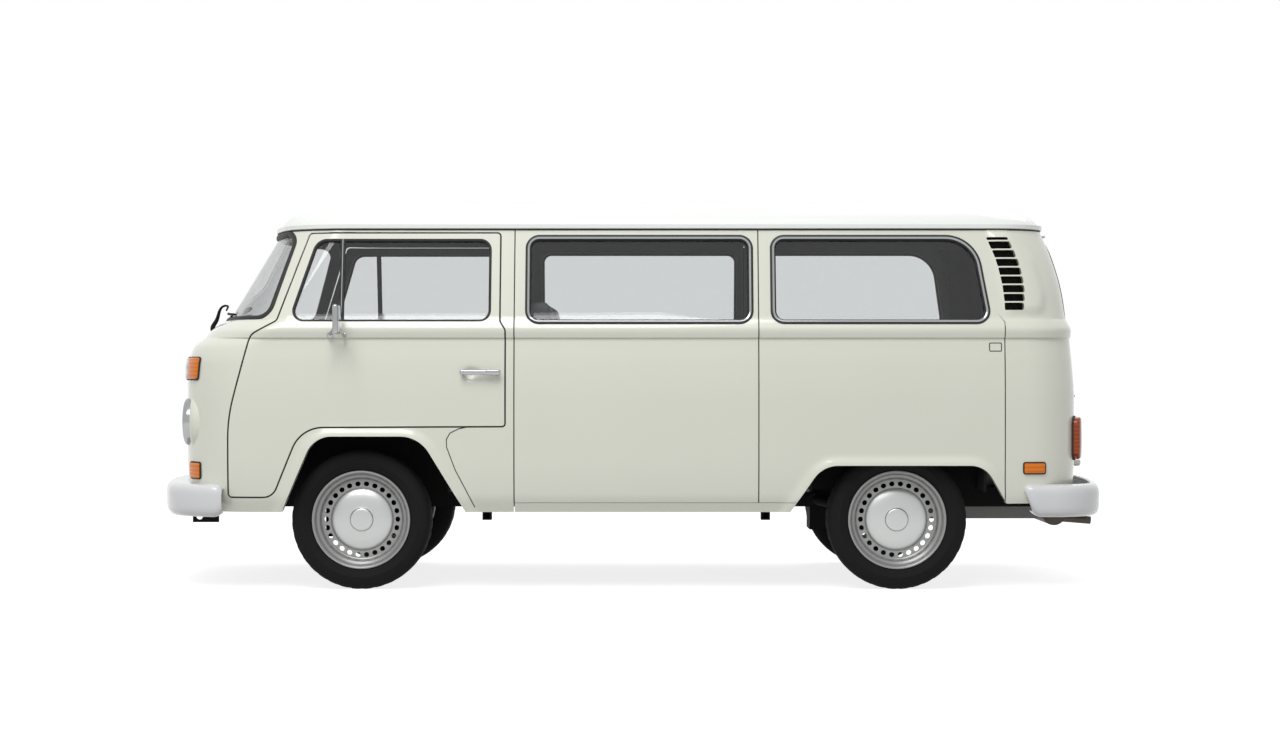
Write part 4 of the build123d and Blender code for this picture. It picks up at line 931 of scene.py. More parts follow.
# %% Bumpers
bumper_row = [0, -2176, 2176, 880, 2500, 300, 230]
BUMPER_MID, BUMPER_HALF = 402, 73
STEP_DEPTH, STEP_PLATE = 100, 4
TIP, TIP_PINCH, TIP_INWARD = 48, 0.5, 26
SLANT_REACH = 180
edge_curve = [(0, -38), (1, -27), (6, -16), (14, -8), (26, -3), (44, 0)]


def bumper(name, front, end_x, slant):
    """One bumper as a swept channel whose ends close in a round and slant back towards the bottom."""
    half = half_outline(bumper_row, 0, (30, 26, 800, 24, 30))
    half = [p for p in half if (p[0] < -end_x if front else p[0] > end_x)]
    if not front:
        half = list(reversed(half))
    full = [(x, -y, nx, -ny) for x, y, nx, ny in reversed(half[1:])] + half
    path = [Vector((x, y, BUMPER_MID)) for x, y, _, _ in full]
    normals = [Vector((nx, ny, 0)) for _, _, nx, ny in full]
    face = [(rise - BUMPER_HALF, out) for rise, out in edge_curve]
    face += [(BUMPER_HALF - rise, out) for rise, out in reversed(edge_curve)]
    step = [(BUMPER_HALF - 1, -STEP_DEPTH), (BUMPER_HALF - 1 - STEP_PLATE, -STEP_DEPTH)]
    back = [(a * 0.94, b - STEP_PLATE) for a, b in reversed(face)]
    piece = sweep(name, path, normals, face + step + back, closed=False)
    for vertex in piece.data.vertices:
        x, y, z = (c * 1000 for c in vertex.co)
        near = TIP - (abs(x) - end_x)
        if near > 0:
            fall = 1 - math.sqrt(max(1 - (near / TIP) ** 2, 0))
            z += (BUMPER_MID - z) * TIP_PINCH * fall
            y -= math.copysign(TIP_INWARD * fall, y)
        low = (BUMPER_MID + BUMPER_HALF - z) / (2 * BUMPER_HALF)
        reach = max(0, 1 - (abs(x) - end_x) / SLANT_REACH)
        x += math.copysign(slant * low * reach, x)
        vertex.co = (x * 0.001, y * 0.001, z * 0.001)
    return piece


for name, node, front, end_x, slant in (("front_bumper", "bumper_front", True, 1805, 0),
                                        ("rear_bumper", "bumper_rear", False, 1738, 58)):
    piece = smooth(bumper(name, front, end_x, slant), 50)
    dress(piece, "body", "bumper_paint", node, materials=[bumper_paint])


# %% [markdown]
# A wheel is a steel disc pressed and welded into a rolled rim, with a ring of vent holes and a domed cap. Its
# section is drawn once and spun, then the holes are cut. The tyre is spun too, and its tread is cut by moving
# the tread's points in, block by block.

# %% Wheels and tyres
def lathe(name, profile, steps):
    """Spin a closed section of (radius, outboard) about the hub, outboard towards -Y."""
    mesh = bpy.data.meshes.new(name)
    edges = [(i, (i + 1) % len(profile)) for i in range(len(profile))]
    mesh.from_pydata([(r * 0.001, -b * 0.001, 0) for r, b in profile], edges, [])
    piece = bpy.data.objects.new(name, mesh)
    scene.collection.objects.link(piece)
    select_only(piece)
    bpy.ops.object.mode_set(mode="EDIT")
    bpy.ops.mesh.select_all(action="SELECT")
    bpy.ops.mesh.spin(steps=steps, angle=2 * math.pi, center=(0, 0, 0), axis=(0, 1, 0))
    bpy.ops.mesh.select_all(action="SELECT")
    bpy.ops.mesh.remove_doubles(threshold=0.00002)
    bpy.ops.mesh.normals_make_consistent(inside=False)
    bpy.ops.object.mode_set(mode="OBJECT")
    return piece


disc_profile = [(19, -60), (19, 22), (60, 23), (120, 24), (140, 24.5), (146, 27), (160, 28), (170, 27.5),
                (175, 26.5), (180, 29), (184, 36), (187, 46), (191, 51), (198, 54), (203, 60), (206, 70),
                (209, 76), (214, 79), (219, 78), (220.5, 74), (217, 68), (212, 66), (208, 60), (206, 50), (196, 42),
                (192, 34), (191, -34), (204, -48), (207, -60), (212, -66), (219, -70), (220, -76),
                (214, -78), (206, -72), (202, -58), (186, -44), (183, 16), (174, 17), (140, 19), (120, 17),
                (118, 14), (117, -60)]
cap_profile = [(0.0, 61), (20, 61), (38, 60.5), (46, 59.5), (50, 57.5), (52, 54), (53, 51.5), (56, 50.5),
               (70, 49.5), (90, 47), (108, 43.5), (121, 39.5), (131, 35), (137, 31), (140, 28), (140, 26),
               (136, 25.5), (120, 27), (60, 30), (0.0, 32)]
tyre_profile = [(205.5, -50), (206.5, -62), (212, -67), (221, -72), (235, -82), (250, -88), (264, -90),
                (278, -88.5), (290, -84), (298, -79), (305, -72), (309, -66)]
GROOVE = 304.5
half_tread = [(312, 12), (GROOVE, 13), (GROOVE, 19), (312, 20), (312, 37), (GROOVE, 38), (GROOVE, 44),
              (311.6, 45), (311, 60)]
tyre_profile += [(radius, -out) for radius, out in reversed(half_tread)] + half_tread
tyre_profile += [(309, 66), (305, 72), (298, 79), (296.5, 79.8), (295, 81.2), (290, 84), (278, 88.5),
                 (264, 90), (261, 91), (256, 91), (253, 89), (240, 84.5), (226, 76), (221, 72), (212, 67),
                 (206.5, 62), (205.5, 50)]

# Vent holes, in metres: their circle, their half length round it, and how much narrower they are across it
WHEEL_HOLES, HOLE_CIRCLE, HOLE_RADIUS, HOLE_SQUASH = 26, 0.160, 0.0122, 0.9
wheel_disc = lathe("wheel_disc", disc_profile, 120)
for k in range(WHEEL_HOLES):
    bpy.ops.mesh.primitive_cylinder_add(vertices=20, radius=HOLE_RADIUS, depth=0.06)
    hole = bpy.context.object
    turn = Matrix.Rotation(2 * math.pi * k / WHEEL_HOLES, 4, "Y")
    hole.data.transform(turn @ Matrix.Translation((HOLE_CIRCLE, -0.023, 0))
                        @ Matrix.Diagonal((HOLE_SQUASH, 1.0, 1.0, 1.0))
                        @ Matrix.Rotation(math.pi / 2, 4, "X"))
    carve(wheel_disc, hole)
    bpy.data.objects.remove(hole)
wheel_cap = lathe("wheel_cap", cap_profile, 96)
drum_profile = [(20, -76), (112, -76), (122, -70), (126, -62), (126, -20), (121, -12), (20, -10)]
wheel_drum = lathe("wheel_drum", drum_profile, 64)
TYRE_STEPS, NOTCH_EVERY = 144, 4
TREAD_FROM, NOTCH_FLOOR, SHOULDER = 0.3095, 0.3065, 0.036
tyre_body = lathe("tyre_body", tyre_profile, TYRE_STEPS)
for vertex in tyre_body.data.vertices:
    radius = math.hypot(vertex.co.x, vertex.co.z)
    angle = math.atan2(vertex.co.z, vertex.co.x)
    step = round(angle / (2 * math.pi) * TYRE_STEPS)
    if radius >= TREAD_FROM and step % NOTCH_EVERY == 0 and abs(vertex.co.y) > SHOULDER:
        vertex.co.x *= NOTCH_FLOOR / radius
        vertex.co.z *= NOTCH_FLOOR / radius
print("wheel disc faces:", len(wheel_disc.data.polygons))

HUB_Z = 312
hubs = {"front_left": (-1204, -695), "front_right": (-1204, 695), "rear_left": (1196, -700),
        "rear_right": (1196, 700)}
wheel_parts = [
    (wheel_disc, "disc", "wheel_silver", wheel_paint, 35, "wheel"),
    (wheel_cap, "cap", "wheel_silver", cap_chrome, 40, None),
    (wheel_drum, "drum", "chassis_paint", chassis_paint, 35, None),
    (tyre_body, "tyre", "tyre_rubber", tyre_rubber, 32, "tyre"),
]
for place, (x, y) in hubs.items():
    move = Matrix.Translation((x * 0.001, y * 0.001, HUB_Z * 0.001))
    if y > 0:
        move = move @ Matrix.Rotation(math.pi, 4, "Z")
    for source, label, slot, material, angle, node in wheel_parts:
        piece = copy_of(source, f"{label}_{place}")
        piece.data.transform(move)
        smooth(piece, angle)
        replaced = [f"{node}_{place}"] if node else []
        dress(piece, f"wheel_{place}", slot, *replaced, materials=[material])
for source, *_ in wheel_parts:
    bpy.data.objects.remove(source)


# %% [markdown]
# Where a door or lid shuts, a dark seal lies down in the gap and makes the line that the eye sees. It is a
# thin strip swept along the same outline as the panel's edge, set back from the paint.

# %% Door and seam seals
gap_profile = [(0.8, -30), (0.8, -3), (DOOR_GAP - 0.3, -3), (DOOR_GAP - 0.3, -30)]
seam_profile = [(-2.5, -28), (-2.5, -2), (2.5, -2), (2.5, -28)]
for side, tag in ((-1, "left"), (1, "right")):
    path, normals = side_path(rounded(cab_door), side)
    rubber(f"door_seal_{tag}", path, normals, gap_profile, angle=None)
    for x, label in ((FRONT_SEAM, "front"), (REAR_SEAM, "rear")):
        path, normals = side_path([Vector((x, z)) for z in range(PANEL_LOW, 1612, 12)], side)
        rubber(f"{label}_seam_seal_{tag}", path, normals, seam_profile, closed=False, angle=None)
for corners, label in ((tailgate_edge, "tailgate"), (lid_edge, "lid")):
    path, normals = tail_path(rounded(corners))
    rubber(f"{label}_seal", path, normals, gap_profile, angle=None)


# %% [markdown]
# Lamps stand on the paint with a dark gasket or a bright rim round them. The headlamp is a glass dome in a
# chrome ring, set in a round cowl on the nose. Each part is a spun section turned to face forward.

# %% Lamps
def nose_line(line):
    """Points and normals on the nose above a front-view line of (Y, Z)."""
    path, normals = [], []
    for p in line:
        dy = (nose_at(p.x + 2, p.y) - nose_at(p.x - 2, p.y)) / 4
        dz = (nose_at(p.x, p.y + 2) - nose_at(p.x, p.y - 2)) / 4
        path.append(Vector((nose_at(p.x, p.y), p.x, p.y)))
        normals.append(Vector((-1, dy, dz)))
    return path, normals


def across(side, low, high):
    """Y range between two distances from the middle, on one side of the van."""
    return sorted((side * low, side * high))


def box_corners(a1, a2, b1, b2, radius):
    """Corner list of a rectangle."""
    return [(a1, b1, radius), (a1, b2, radius), (a2, b2, radius), (a2, b1, radius)]


def pad(name, corners, place, layers):
    """A low lens or plate on the skin: loops of (share, height) shrink to its middle."""
    outline = rounded(corners, step=6)
    middle = sum(outline, Vector((0, 0))) / len(outline)
    points, faces = [], []
    for share, height in layers:
        path, normals = place([middle + (p - middle) * share for p in outline])
        points += [here + out.normalized() * height for here, out in zip(path, normals)]
    size = len(outline)
    for lap in range(len(layers) - 1):
        here, above = lap * size, (lap + 1) * size
        faces += [(here + k, here + (k + 1) % size, above + (k + 1) % size, above + k) for k in range(size)]
    faces += [tuple(range(size)), tuple(range((len(layers) - 1) * size, len(layers) * size))]
    return smooth(clean(build(name, points, faces), 0.00001), 40)


def lens_layers(height):
    """A lens with upright sides, a soft edge and a crowned face."""
    return [(1.0, -4), (1.0, height * 0.55), (0.985, height * 0.78), (0.955, height * 0.9),
            (0.9, height * 0.96), (0.7, height), (0.4, height * 1.02), (0.08, height * 1.03)]


frame_profile = [(-1, -2), (-1, 5), (1, 7.5), (4, 7.5), (6, 5), (6, -2)]
INDICATOR_Z = (942, 1036)
amber = ("amber_lens", amber_acrylic, "amber_lamps")
clear = ("lamp_glass", lamp_glass, "amber_lamps")
tail = ("red_lens", red_acrylic, "tail_lamps")
lenses = {"amber_lamps": [], "tail_lamps": []}
for side, tag in ((-1, "left"), (1, "right")):
    def on_side(line, side=side):
        """Place a line on this side's skin."""
        return side_path(line, side)

    for label, corners, place, height, (slot, material, node) in (
            ("front_indicator", box_corners(*across(side, 640, 738), *INDICATOR_Z, 10), nose_line, 15, amber),
            ("front_reflector", box_corners(*across(side, 505, 637), *INDICATOR_Z, 10), nose_line, 15, clear),
            ("front_marker", box_corners(-1980, -1925, 498, 566, 6), on_side, 13, amber),
            ("rear_marker", box_corners(1752, 1843, 525, 569, 5), on_side, 12, amber),
            ("tail_lamp", box_corners(*across(side, 640, 732), 582, 771, 34), tail_path, 34, tail)):
        lens = pad(f"{label}_{tag}", corners, place, lens_layers(height))
        lenses[node].append(dress(lens, "body", slot, materials=[material]))
        path, normals = place(rounded(corners, step=6))
        rubber(f"{label}_gasket_{tag}", path, normals, frame_profile)
for node, pieces in lenses.items():
    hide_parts(node)
print("lenses:", sum(len(pieces) for pieces in lenses.values()))

# %% Headlamps
HEADLAMP_X, HEADLAMP_Y, HEADLAMP_Z = -2.009, 0.600, 0.748
glass_profile = [(0.0, 20), (30, 19), (56, 15.5), (74, 10.5), (86, 5), (93, -2), (93, -8), (0.0, -8)]
ring_profile = [(89, 1), (92, 6), (97, 9), (102, 8), (107, 2), (109, -12), (110, -44), (104, -46), (92, -12)]
cowl_profile = [(111, -42), (113, -32), (120, -27), (131, -30), (142, -42), (150, -62), (153, -110),
                (120, -110), (112, -60)]
headlamp_parts = [("glass", glass_profile, "lamp_glass", lamp_glass),
                  ("ring", ring_profile, "chrome", bright_trim),
                  ("cowl", cowl_profile, "body_paint", body_paint)]
for side, tag in ((-1, "left"), (1, "right")):
    move = (Matrix.Translation((HEADLAMP_X, side * HEADLAMP_Y, HEADLAMP_Z))
            @ Matrix.Rotation(-math.pi / 2, 4, "Z"))
    for label, profile, slot, material in headlamp_parts:
        piece = lathe(f"headlamp_{label}_{tag}", profile, 72)
        piece.data.transform(move)
        dress(smooth(piece, 40), "body", slot, materials=[material])
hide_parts("headlamps")

# %% [markdown]
# Behind each set of louvres stands a closed air box, which leads down to the engine. Its black is painted shade,
# so the slots look dark from outside, and the closed box keeps the far side's slots from showing through the
# windows.

# %% Air boxes behind the louvres
air_box = [(1640, 1225), (1790, 1225), (1760, 1430), (1700, 1590), (1570, 1590), (1620, 1430)]
AIR_BOX_OUTER, AIR_BOX_INNER = 34, 62
# The boxes take the black chassis finish as painted shade for the dark inside of the slots.
for side, tag in ((-1, "left"), (1, "right")):
    outer, inner = (side_path([Vector(p) for p in air_box], side, depth)[0]
                    for depth in (AIR_BOX_OUTER, AIR_BOX_INNER))
    dress(prism(f"air_box_{tag}", outer, inner), "body", "chassis_paint", materials=[chassis_paint])

# %% [markdown]
# A few lines in the paint show where smaller panels meet: the curved edge of a closing plate behind the front
# wheel, and a small square flap under the belt. Each is a fine black strip in the skin: painted shade for the seam.

# %% Small panel lines
line_profile = [(-2, -3), (-2, 0.9), (2, 0.9), (2, -3)]
plate_bend = [(-708, 733), (-760, 722), (-799, 703), (-815, 675), (-814, 640), (-776, 539), (-732, 455),
              (-690, 372)]
plate_edge = [Vector(plate_bend[0])]
for before, after in zip(plate_bend, plate_bend[1:]):
    plate_edge += [Vector(before).lerp(Vector(after), k / 6) for k in range(1, 7)]
plate_swell = swell(np.array([p.x for p in plate_edge]), np.array([p.y for p in plate_edge]))
flap_edge = rounded(box_corners(1599, 1652, 1067, 1103, 4), step=6)
# Both lines are black strips of painted shade for the shadow in the seam.
for side, tag in ((-1, "left"), (1, "right")):
    path, normals = side_path(plate_edge, side)
    path = [p + Vector((0, side * d, 0)) for p, d in zip(path, plate_swell)]
    rubber(f"plate_line_{tag}", path, normals, line_profile, closed=False, angle=None)
    path, normals = side_path(flap_edge, side)
    rubber(f"flap_line_{tag}", path, normals, line_profile, angle=None)

# %% [markdown]
# Door furniture is chromed zinc. The pull handle is a rounded bar on two posts over a dish in the door, and
# the mirror is a shallow rounded shell on a bent tube. Tubes are curves turned into meshes, capped at the ends.

# %% Door furniture
def tube(name, points, radius, shares=None):
    """A bent round tube through points in millimetres, with its radius scaled by shares."""
    curve = bpy.data.curves.new(name, "CURVE")
    curve.dimensions = "3D"
    curve.bevel_depth = radius * 0.001
    curve.bevel_resolution = 4
    curve.use_fill_caps = True
    curve.resolution_u = 10
    spline = curve.splines.new("BEZIER")
    spline.bezier_points.add(len(points) - 1)
    for knot, place, share in zip(spline.bezier_points, points, shares or [1] * len(points)):
        knot.co = [c * 0.001 for c in place]
        knot.radius = share
        knot.handle_left_type = knot.handle_right_type = "AUTO"
    piece = bpy.data.objects.new(name, curve)
    scene.collection.objects.link(piece)
    select_only(piece)
    bpy.ops.object.convert(target="MESH")
    piece = bpy.context.object
    piece.data.materials.clear()
    return clean(piece)


def round_edges(piece, radius, segments):
    """Round every edge of a piece."""
    select_only(piece)
    bpy.ops.object.mode_set(mode="EDIT")
    bpy.ops.mesh.select_all(action="SELECT")
    bpy.ops.mesh.bevel(offset=radius * 0.001, segments=segments, affect="EDGES")
    bpy.ops.object.mode_set(mode="OBJECT")


def soft_block(name, x1, x2, y1, y2, z1, z2, radius, segments=4):
    """Box between two corners with all its edges rounded."""
    piece = block(name, x1, x2, y1, y2, z1, z2)
    round_edges(piece, radius, segments)
    return smooth(piece, 50)


for side, tag in ((-1, "left"), (1, "right")):
    door = f"cab_door_{tag}"
    bar = soft_block(f"handle_bar_{tag}", -754, -576, *across(side, 876, 892), 962, 984, 7)
    grip = soft_block(f"handle_grip_{tag}", -640, -574, *across(side, 872, 894), 960, 986, 8)
    posts = [soft_block(f"handle_post_{k}_{tag}", x, x + 18, *across(side, 842, 880), 966, 980, 3)
             for k, x in enumerate((-750, -600))]
    handle = joined(f"pull_handle_{tag}", [bar, grip, *posts])
    dress(handle, door, "chrome", f"door_fittings_{tag}", materials=[bright_trim])
    head = soft_block(f"mirror_shell_{tag}", -1304, -1278, *across(side, 893, 1015), 1141, 1273, 12, 5)
    dress(head, door, "chrome", materials=[bright_trim])
    face = soft_block(f"mirror_face_{tag}", -1280, -1276, *across(side, 902, 1006), 1150, 1264, 1.8, 3)
    dress(face, door, "chrome", materials=[mirror_glass])
    arm = tube(f"mirror_arm_{tag}", [(-1332, side * 850, 1140), (-1326, side * 885, 1146),
                                     (-1306, side * 935, 1168), (-1296, side * 953, 1205)], 7)
    dress(smooth(arm, 50), door, "chrome", materials=[bright_trim])
    foot = tube(f"mirror_stay_{tag}", [(-1268, side * 850, 1138), (-1262, side * 880, 1132),
                                       (-1274, side * 925, 1150), (-1288, side * 950, 1185)], 5)
    dress(smooth(foot, 50), door, "chrome", materials=[bright_trim])
    for k, (x, radius) in enumerate(((-1332, 15), (-1268, 11))):
        bpy.ops.mesh.primitive_uv_sphere_add(segments=24, ring_count=14, radius=radius * 0.001)
        ball = bpy.context.object
        ball.name = f"mirror_foot_{k}_{tag}"
        ball.data.transform(Matrix.Translation((x * 0.001, side * 0.854, 1.139))
                            @ Matrix.Diagonal((1, 0.6, 1, 1)))
        dress(smooth(ball, 60), door, "chrome", materials=[bright_trim])


# %% [markdown]
# The tailgate and the engine lid hang on short knuckles on a pin, with an arm to each panel. The two halves
# are stacked along the same axis, so the lid can turn while its half follows it.

# %% Hinge lugs
LUG_PITCH = 12.4


def lug(name, centre, arm_end, radius=6, length=12, arm_radius=4):
    """A knuckle on the hinge axis with an arm to its panel."""
    bpy.ops.mesh.primitive_cylinder_add(vertices=28, radius=radius * 0.001, depth=length * 0.001)
    knuckle = bpy.context.object
    knuckle.name = name
    knuckle.data.transform(Matrix.Translation([c * 0.001 for c in centre])
                           @ Matrix.Rotation(math.pi / 2, 4, "X"))
    round_edges(knuckle, 1.2, 2)
    middle = [(a + b) / 2 for a, b in zip(centre, arm_end)]
    arm = tube(f"{name}_arm", [centre, middle, arm_end], arm_radius)
    return smooth(joined(name, [knuckle, arm]), 40)


# Name, body, pin (X, Z), inner knuckle's Y, and where the arms of the frame's half and the panel's half end
hinges = [("tailgate", "tailgate", (1920, 1600), 346, (1880, 1610), (1890, 1583)),
          ("lid", "engine_lid", (2066, 861), 306, (2040, 874), (2040, 848))]
for side, tag in ((-1, "left"), (1, "right")):
    for label, moving, (pin_x, pin_z), inner_y, frame_end, leaf_end in hinges:
        for half, body, reach, (end_x, end_z) in (("frame", "body", inner_y, frame_end),
                                                  ("leaf", moving, inner_y + LUG_PITCH, leaf_end)):
            y = side * reach
            piece = lug(f"{label}_hinge_{half}_{tag}", (pin_x, y, pin_z), (end_x, y, end_z))
            dress(piece, body, "body_paint", materials=[body_paint])
housing = soft_block("licence_lamp_housing", 2044, 2140, -95, 95, 526, 558, 12)
dress(housing, "engine_lid", "body_paint", materials=[body_paint])
catch = soft_block("tailgate_handle", 2040, 2078, -55, 55, 924, 948, 8)
dress(catch, "tailgate", "chrome", materials=[bright_trim])


# %% [markdown]
# Each wiper stands on a spindle in the scuttle, rises clear of the paint, hooks over and lays its blade along
# the foot of the glass. The arm is a tapered tube, and the blade is a narrow rubber with a metal back.

# %% Wipers
wiper_pivots = (-130, 390)
blade_steps = (60, 100, 200, 300, 400, 450)
blade_profile = [(-5, 0), (-5, 6), (0, 9), (5, 6), (5, 0), (0, -7)]
arm_taper = (1.6, 1.7, 1.3, 0.8, 0.7, 0.6)
BLADE_Z, BLADE_FALL, BLADE_CLEAR = 1248, 0.03, 11
wiper_parts = []
for k, pivot in enumerate(wiper_pivots):
    foot = nose_at(pivot, 1160)
    glass = [nose_at(pivot - d, 1240) for d in blade_steps]
    knees = [(foot + 12, pivot, 1160), (foot - 2, pivot, 1168), (foot + 18, pivot - 6, 1222),
             (foot + 42, pivot - 16, 1278), (foot + 72, pivot - 40, 1284), (glass[1] - 22, pivot - 100, 1262)]
    wiper_parts.append(smooth(tube(f"wiper_arm_{k}", knees, 7, arm_taper), 50))
    blade = [Vector((x - BLADE_CLEAR, pivot - d, BLADE_Z - d * BLADE_FALL))
             for d, x in zip(blade_steps, glass)]
    out = [Vector((-1, 0, 0.35))] * len(blade)
    wiper_parts.append(sweep(f"wiper_blade_{k}", blade, out, blade_profile, closed=False))
wiper_set = joined("wiper_set", wiper_parts)
dress(wiper_set, "body", "wiper_black", "wipers", materials=[chassis_paint])

# %% [markdown]
# Seats are foam under vinyl. Each cushion starts as the outline of its CAD solid, a little small. It is
# remeshed into even squares and blown up by a cloth simulation with pressure and no gravity, so its faces crown
# and its edges stay drawn in. Sewn channels are pressed in last, and its underside is kept flat on its base.

# %% Seat cushions
FRONT_BASE, MIDDLE_BASE = 712.3, 700.3
front_cushion = [(-1028, 720, 30), (-1028, 830, 50), (-608, 848, 25), (-608, 720, 15)]
front_back = [(-606, 740, 15), (-566, 1000, 200), (-446, 1306, 44), (-334, 1318, 40), (-456, 900, 100),
              (-482, 740, 15)]
middle_cushion = [(-138, 706, 25), (-138, 800, 45), (300, 815, 20), (300, 706, 15)]
middle_back = [(316, 740, 20), (376, 1176, 35), (458, 1176, 35), (416, 740, 20)]
rear_cushion = [(622, 718, 25), (622, 805, 45), (1060, 820, 20), (1060, 718, 15)]
rear_back = [(1072, 748, 20), (1106, 1176, 35), (1188, 1176, 35), (1188, 748, 20)]
# Name, outline, left and right Y, height it rests at, and how many sewn channels it has
cushion_plan = [
    ("front_cushion_left", front_cushion, -665, -165, FRONT_BASE, 3),
    ("front_back_left", front_back, -665, -165, FRONT_BASE, 3),
    ("front_cushion_right", front_cushion, 165, 665, FRONT_BASE, 3),
    ("front_back_right", front_back, 165, 665, FRONT_BASE, 3),
    ("middle_cushion", middle_cushion, -690, 430, MIDDLE_BASE, 7),
    ("middle_back", middle_back, -690, 430, 730, 7),
    ("rear_cushion", rear_cushion, -560, 560, FRONT_BASE, 7),
    ("rear_back", rear_back, -560, 560, 740, 7),
]
SLACK = 8
END_SLACK = 10
SQUARE = 0.016
AIR_PRESSURE = 4
BLOW_FRAMES = 20
LARGEST_SWELL = 0.018
CHANNEL_HALF, CHANNEL_DEPTH = 14, 0.007


def blank(name, corners, y1, y2):
    """The even-squared block that a cushion is blown up from."""
    line = rounded(corners, -SLACK, 18)
    near, far = ([(p.x, y, p.y) for p in line] for y in (y1 + END_SLACK, y2 - END_SLACK))
    piece = prism(name, near, far)
    squares = piece.modifiers.new("even_squares", "REMESH")
    squares.mode = "VOXEL"
    squares.voxel_size = SQUARE
    select_only(piece)
    bpy.ops.object.modifier_apply(modifier=squares.name)
    return piece


def blow_up(pieces):
    """Puff all cushions at once by cloth pressure, and keep each point's move small."""
    starts = [[v.co.copy() for v in piece.data.vertices] for piece in pieces]
    for piece in pieces:
        air = piece.modifiers.new("air", "CLOTH")
        air.settings.use_pressure = True
        air.settings.uniform_pressure_force = AIR_PRESSURE
        air.settings.effector_weights.gravity = 0
        air.settings.quality = 4
    for step in range(1, BLOW_FRAMES + 1):
        scene.frame_set(step)
    depsgraph = bpy.context.evaluated_depsgraph_get()
    for piece, start in zip(pieces, starts):
        blown = piece.evaluated_get(depsgraph).to_mesh()
        ends = [v.co.copy() for v in blown.vertices]
        piece.modifiers.clear()
        for vertex, here, end in zip(piece.data.vertices, start, ends):
            move = end - here
            vertex.co = here + move * min(1, LARGEST_SWELL / max(move.length, 1e-6))
    scene.frame_set(1)


def sew(piece, y1, y2, base, channels):
    """Refine a cushion, press its sewn channels in and rest it flat on its base."""
    finer = piece.modifiers.new("finer", "SUBSURF")
    finer.levels = finer.render_levels = 1
    select_only(piece)
    bpy.ops.object.modifier_apply(modifier=finer.name)
    seams = [y1 + (y2 - y1) * k / (channels + 1) for k in range(1, channels + 1)]
    for vertex in piece.data.vertices:
        gap = min(abs(vertex.co.y * 1000 - seam) for seam in seams)
        if gap < CHANNEL_HALF and abs(vertex.normal.y) < 0.6:
            vertex.co -= vertex.normal * CHANNEL_DEPTH * (1 - gap / CHANNEL_HALF) ** 2
        vertex.co.z = max(vertex.co.z, base * 0.001)


cushions = [blank(name, corners, y1, y2) for name, corners, y1, y2, _, _ in cushion_plan]
blow_up(cushions)
for piece, (_, _, y1, y2, base, channels) in zip(cushions, cushion_plan):
    sew(piece, y1, y2, base, channels)
    smooth(piece, 60)
    dress(piece, "body", "seat_vinyl", materials=[seat_vinyl])
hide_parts("front_seats")
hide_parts("middle_bench")
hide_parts("rear_bench")
print("cushion faces:", [len(piece.data.polygons) for piece in cushions])

# %% [markdown]
# The cutters have done their work. Removing them leaves only the pieces of the van in the scene.

# %% Clear the cutters
for piece in [*cut.values(), *louvre_cuts, *grille_cuts, shell, panes, outer_solid, inner_solid,
              glass_outer, glass_inner, roof_inner]:
    bpy.data.objects.remove(piece)

# %% [markdown]
# The CAD pieces whose shape is right stay, and take a finish that suits what they are made of.

# %% Finishes of the CAD pieces
finishes = {
    chassis_paint: ("front_wheelhouses", "rear_wheelhouses", "chassis_frame", "front_axle", "rear_axle",
                    "knuckle_left", "knuckle_right", "tie_rod", "bench_frames"),
    trim_board: ("floor_pan", "rear_deck"),
    trim_plastic: ("dashboard", "steering_wheel"),
    engine_alloy: ("engine",),
    exhaust_steel: ("exhaust",),
}
for material, names in finishes.items():
    for node in names:
        mesh = nodes[node].data
        mesh.materials.clear()
        mesh.materials.append(material)

# %% [markdown]
# A pale floor and soft light from all round suit a plain white studio. The floor keeps the van's shadow and
# adds a little white of its own where the camera looks at it.

# %% Floor, world and lamps
FLOOR_GLOW = 0.82
SKY_LIGHT = 0.5
# Place, side in metres and power in watts of each soft lamp
lamps = [((-2.0, -6.5, 8.5), 6.0, 610), ((3.0, 5.5, 8.0), 5.0, 230)]


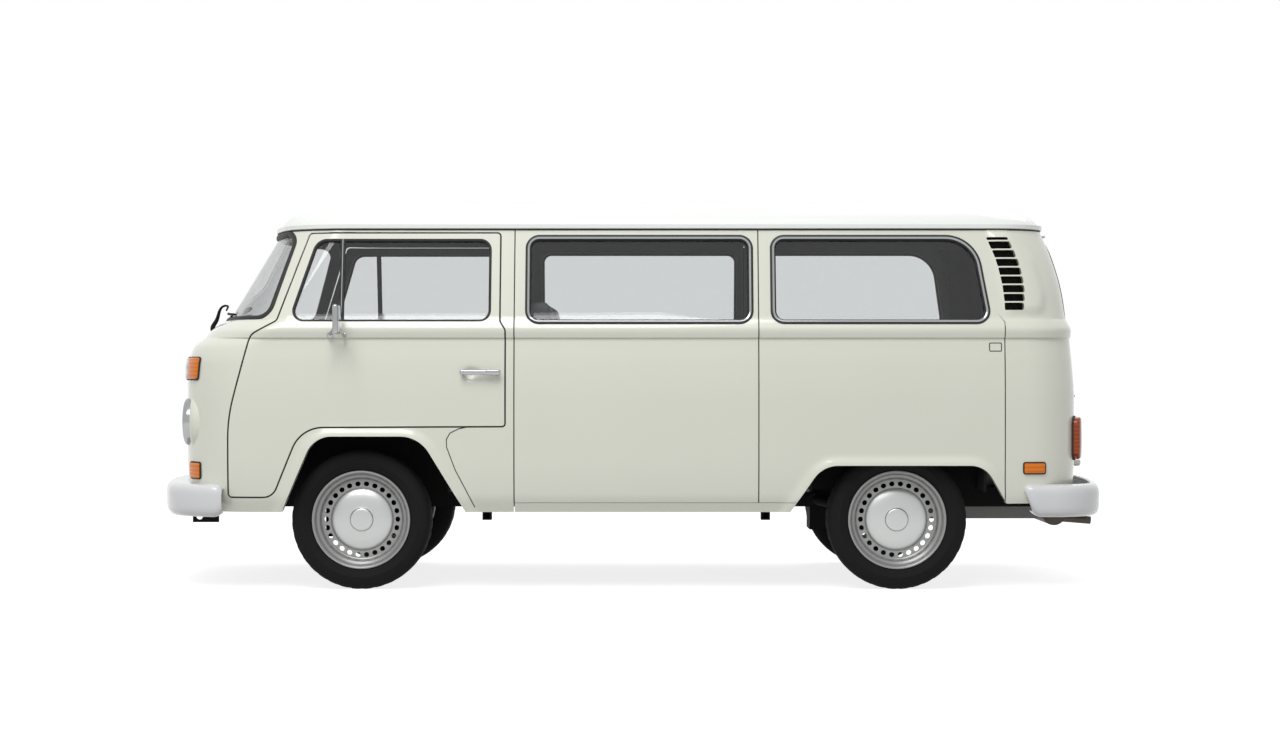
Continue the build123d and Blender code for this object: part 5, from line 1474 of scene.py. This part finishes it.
def white_rays(tree):
    """1 for rays that see the background itself: from the camera, in a gloss or through glass."""
    path = add_node(tree, "ShaderNodeLightPath")
    total = path.outputs["Is Camera Ray"]
    for ray in ("Is Glossy Ray", "Is Transmission Ray"):
        either = add_node(tree, "ShaderNodeMath", {0: total, 1: path.outputs[ray]}, operation="MAXIMUM")
        total = either.outputs[0]
    return total


bpy.ops.mesh.primitive_plane_add(size=200, location=(0, 0, 0))
floor = bpy.context.object
floor.name = "studio_floor"
floor_material, tree = new_material("pale_studio_floor")
direct = white_rays(tree)
matt = add_node(tree, "ShaderNodeBsdfDiffuse", {"Color": linear("#B4B4B3")})
glow = add_node(tree, "ShaderNodeEmission", {"Color": (1, 1, 1, 1), "Strength": FLOOR_GLOW})
dark = add_node(tree, "ShaderNodeEmission", {"Color": (0, 0, 0, 1), "Strength": 0.0})
lift = add_node(tree, "ShaderNodeMixShader", {0: direct, 1: dark.outputs[0], 2: glow.outputs[0]})
both = add_node(tree, "ShaderNodeAddShader", {0: matt.outputs[0], 1: lift.outputs[0]})
add_node(tree, "ShaderNodeOutputMaterial", {"Surface": both.outputs[0]})
floor.data.materials.append(floor_material)

world = bpy.data.worlds.new("white_studio")
scene.world = world
world.use_nodes = True
world.node_tree.nodes.clear()
tree = world.node_tree
direct = white_rays(tree)
seen = add_node(tree, "ShaderNodeBackground", {"Color": (1, 1, 1, 1), "Strength": 1.0})
light = add_node(tree, "ShaderNodeBackground", {"Color": (1, 1, 1, 1), "Strength": SKY_LIGHT})
choice = add_node(tree, "ShaderNodeMixShader", {0: direct, 1: light.outputs[0], 2: seen.outputs[0]})
add_node(tree, "ShaderNodeOutputWorld", {"Surface": choice.outputs[0]})
for place, size, power in lamps:
    bpy.ops.object.light_add(type="AREA", location=place)
    lamp = bpy.context.object
    lamp.data.size = size
    lamp.data.energy = power
    aim = Vector((0, 0, 0.9)) - Vector(place)
    lamp.rotation_euler = aim.to_track_quat("-Z", "Y").to_euler()
scene.view_settings.view_transform = "Standard"
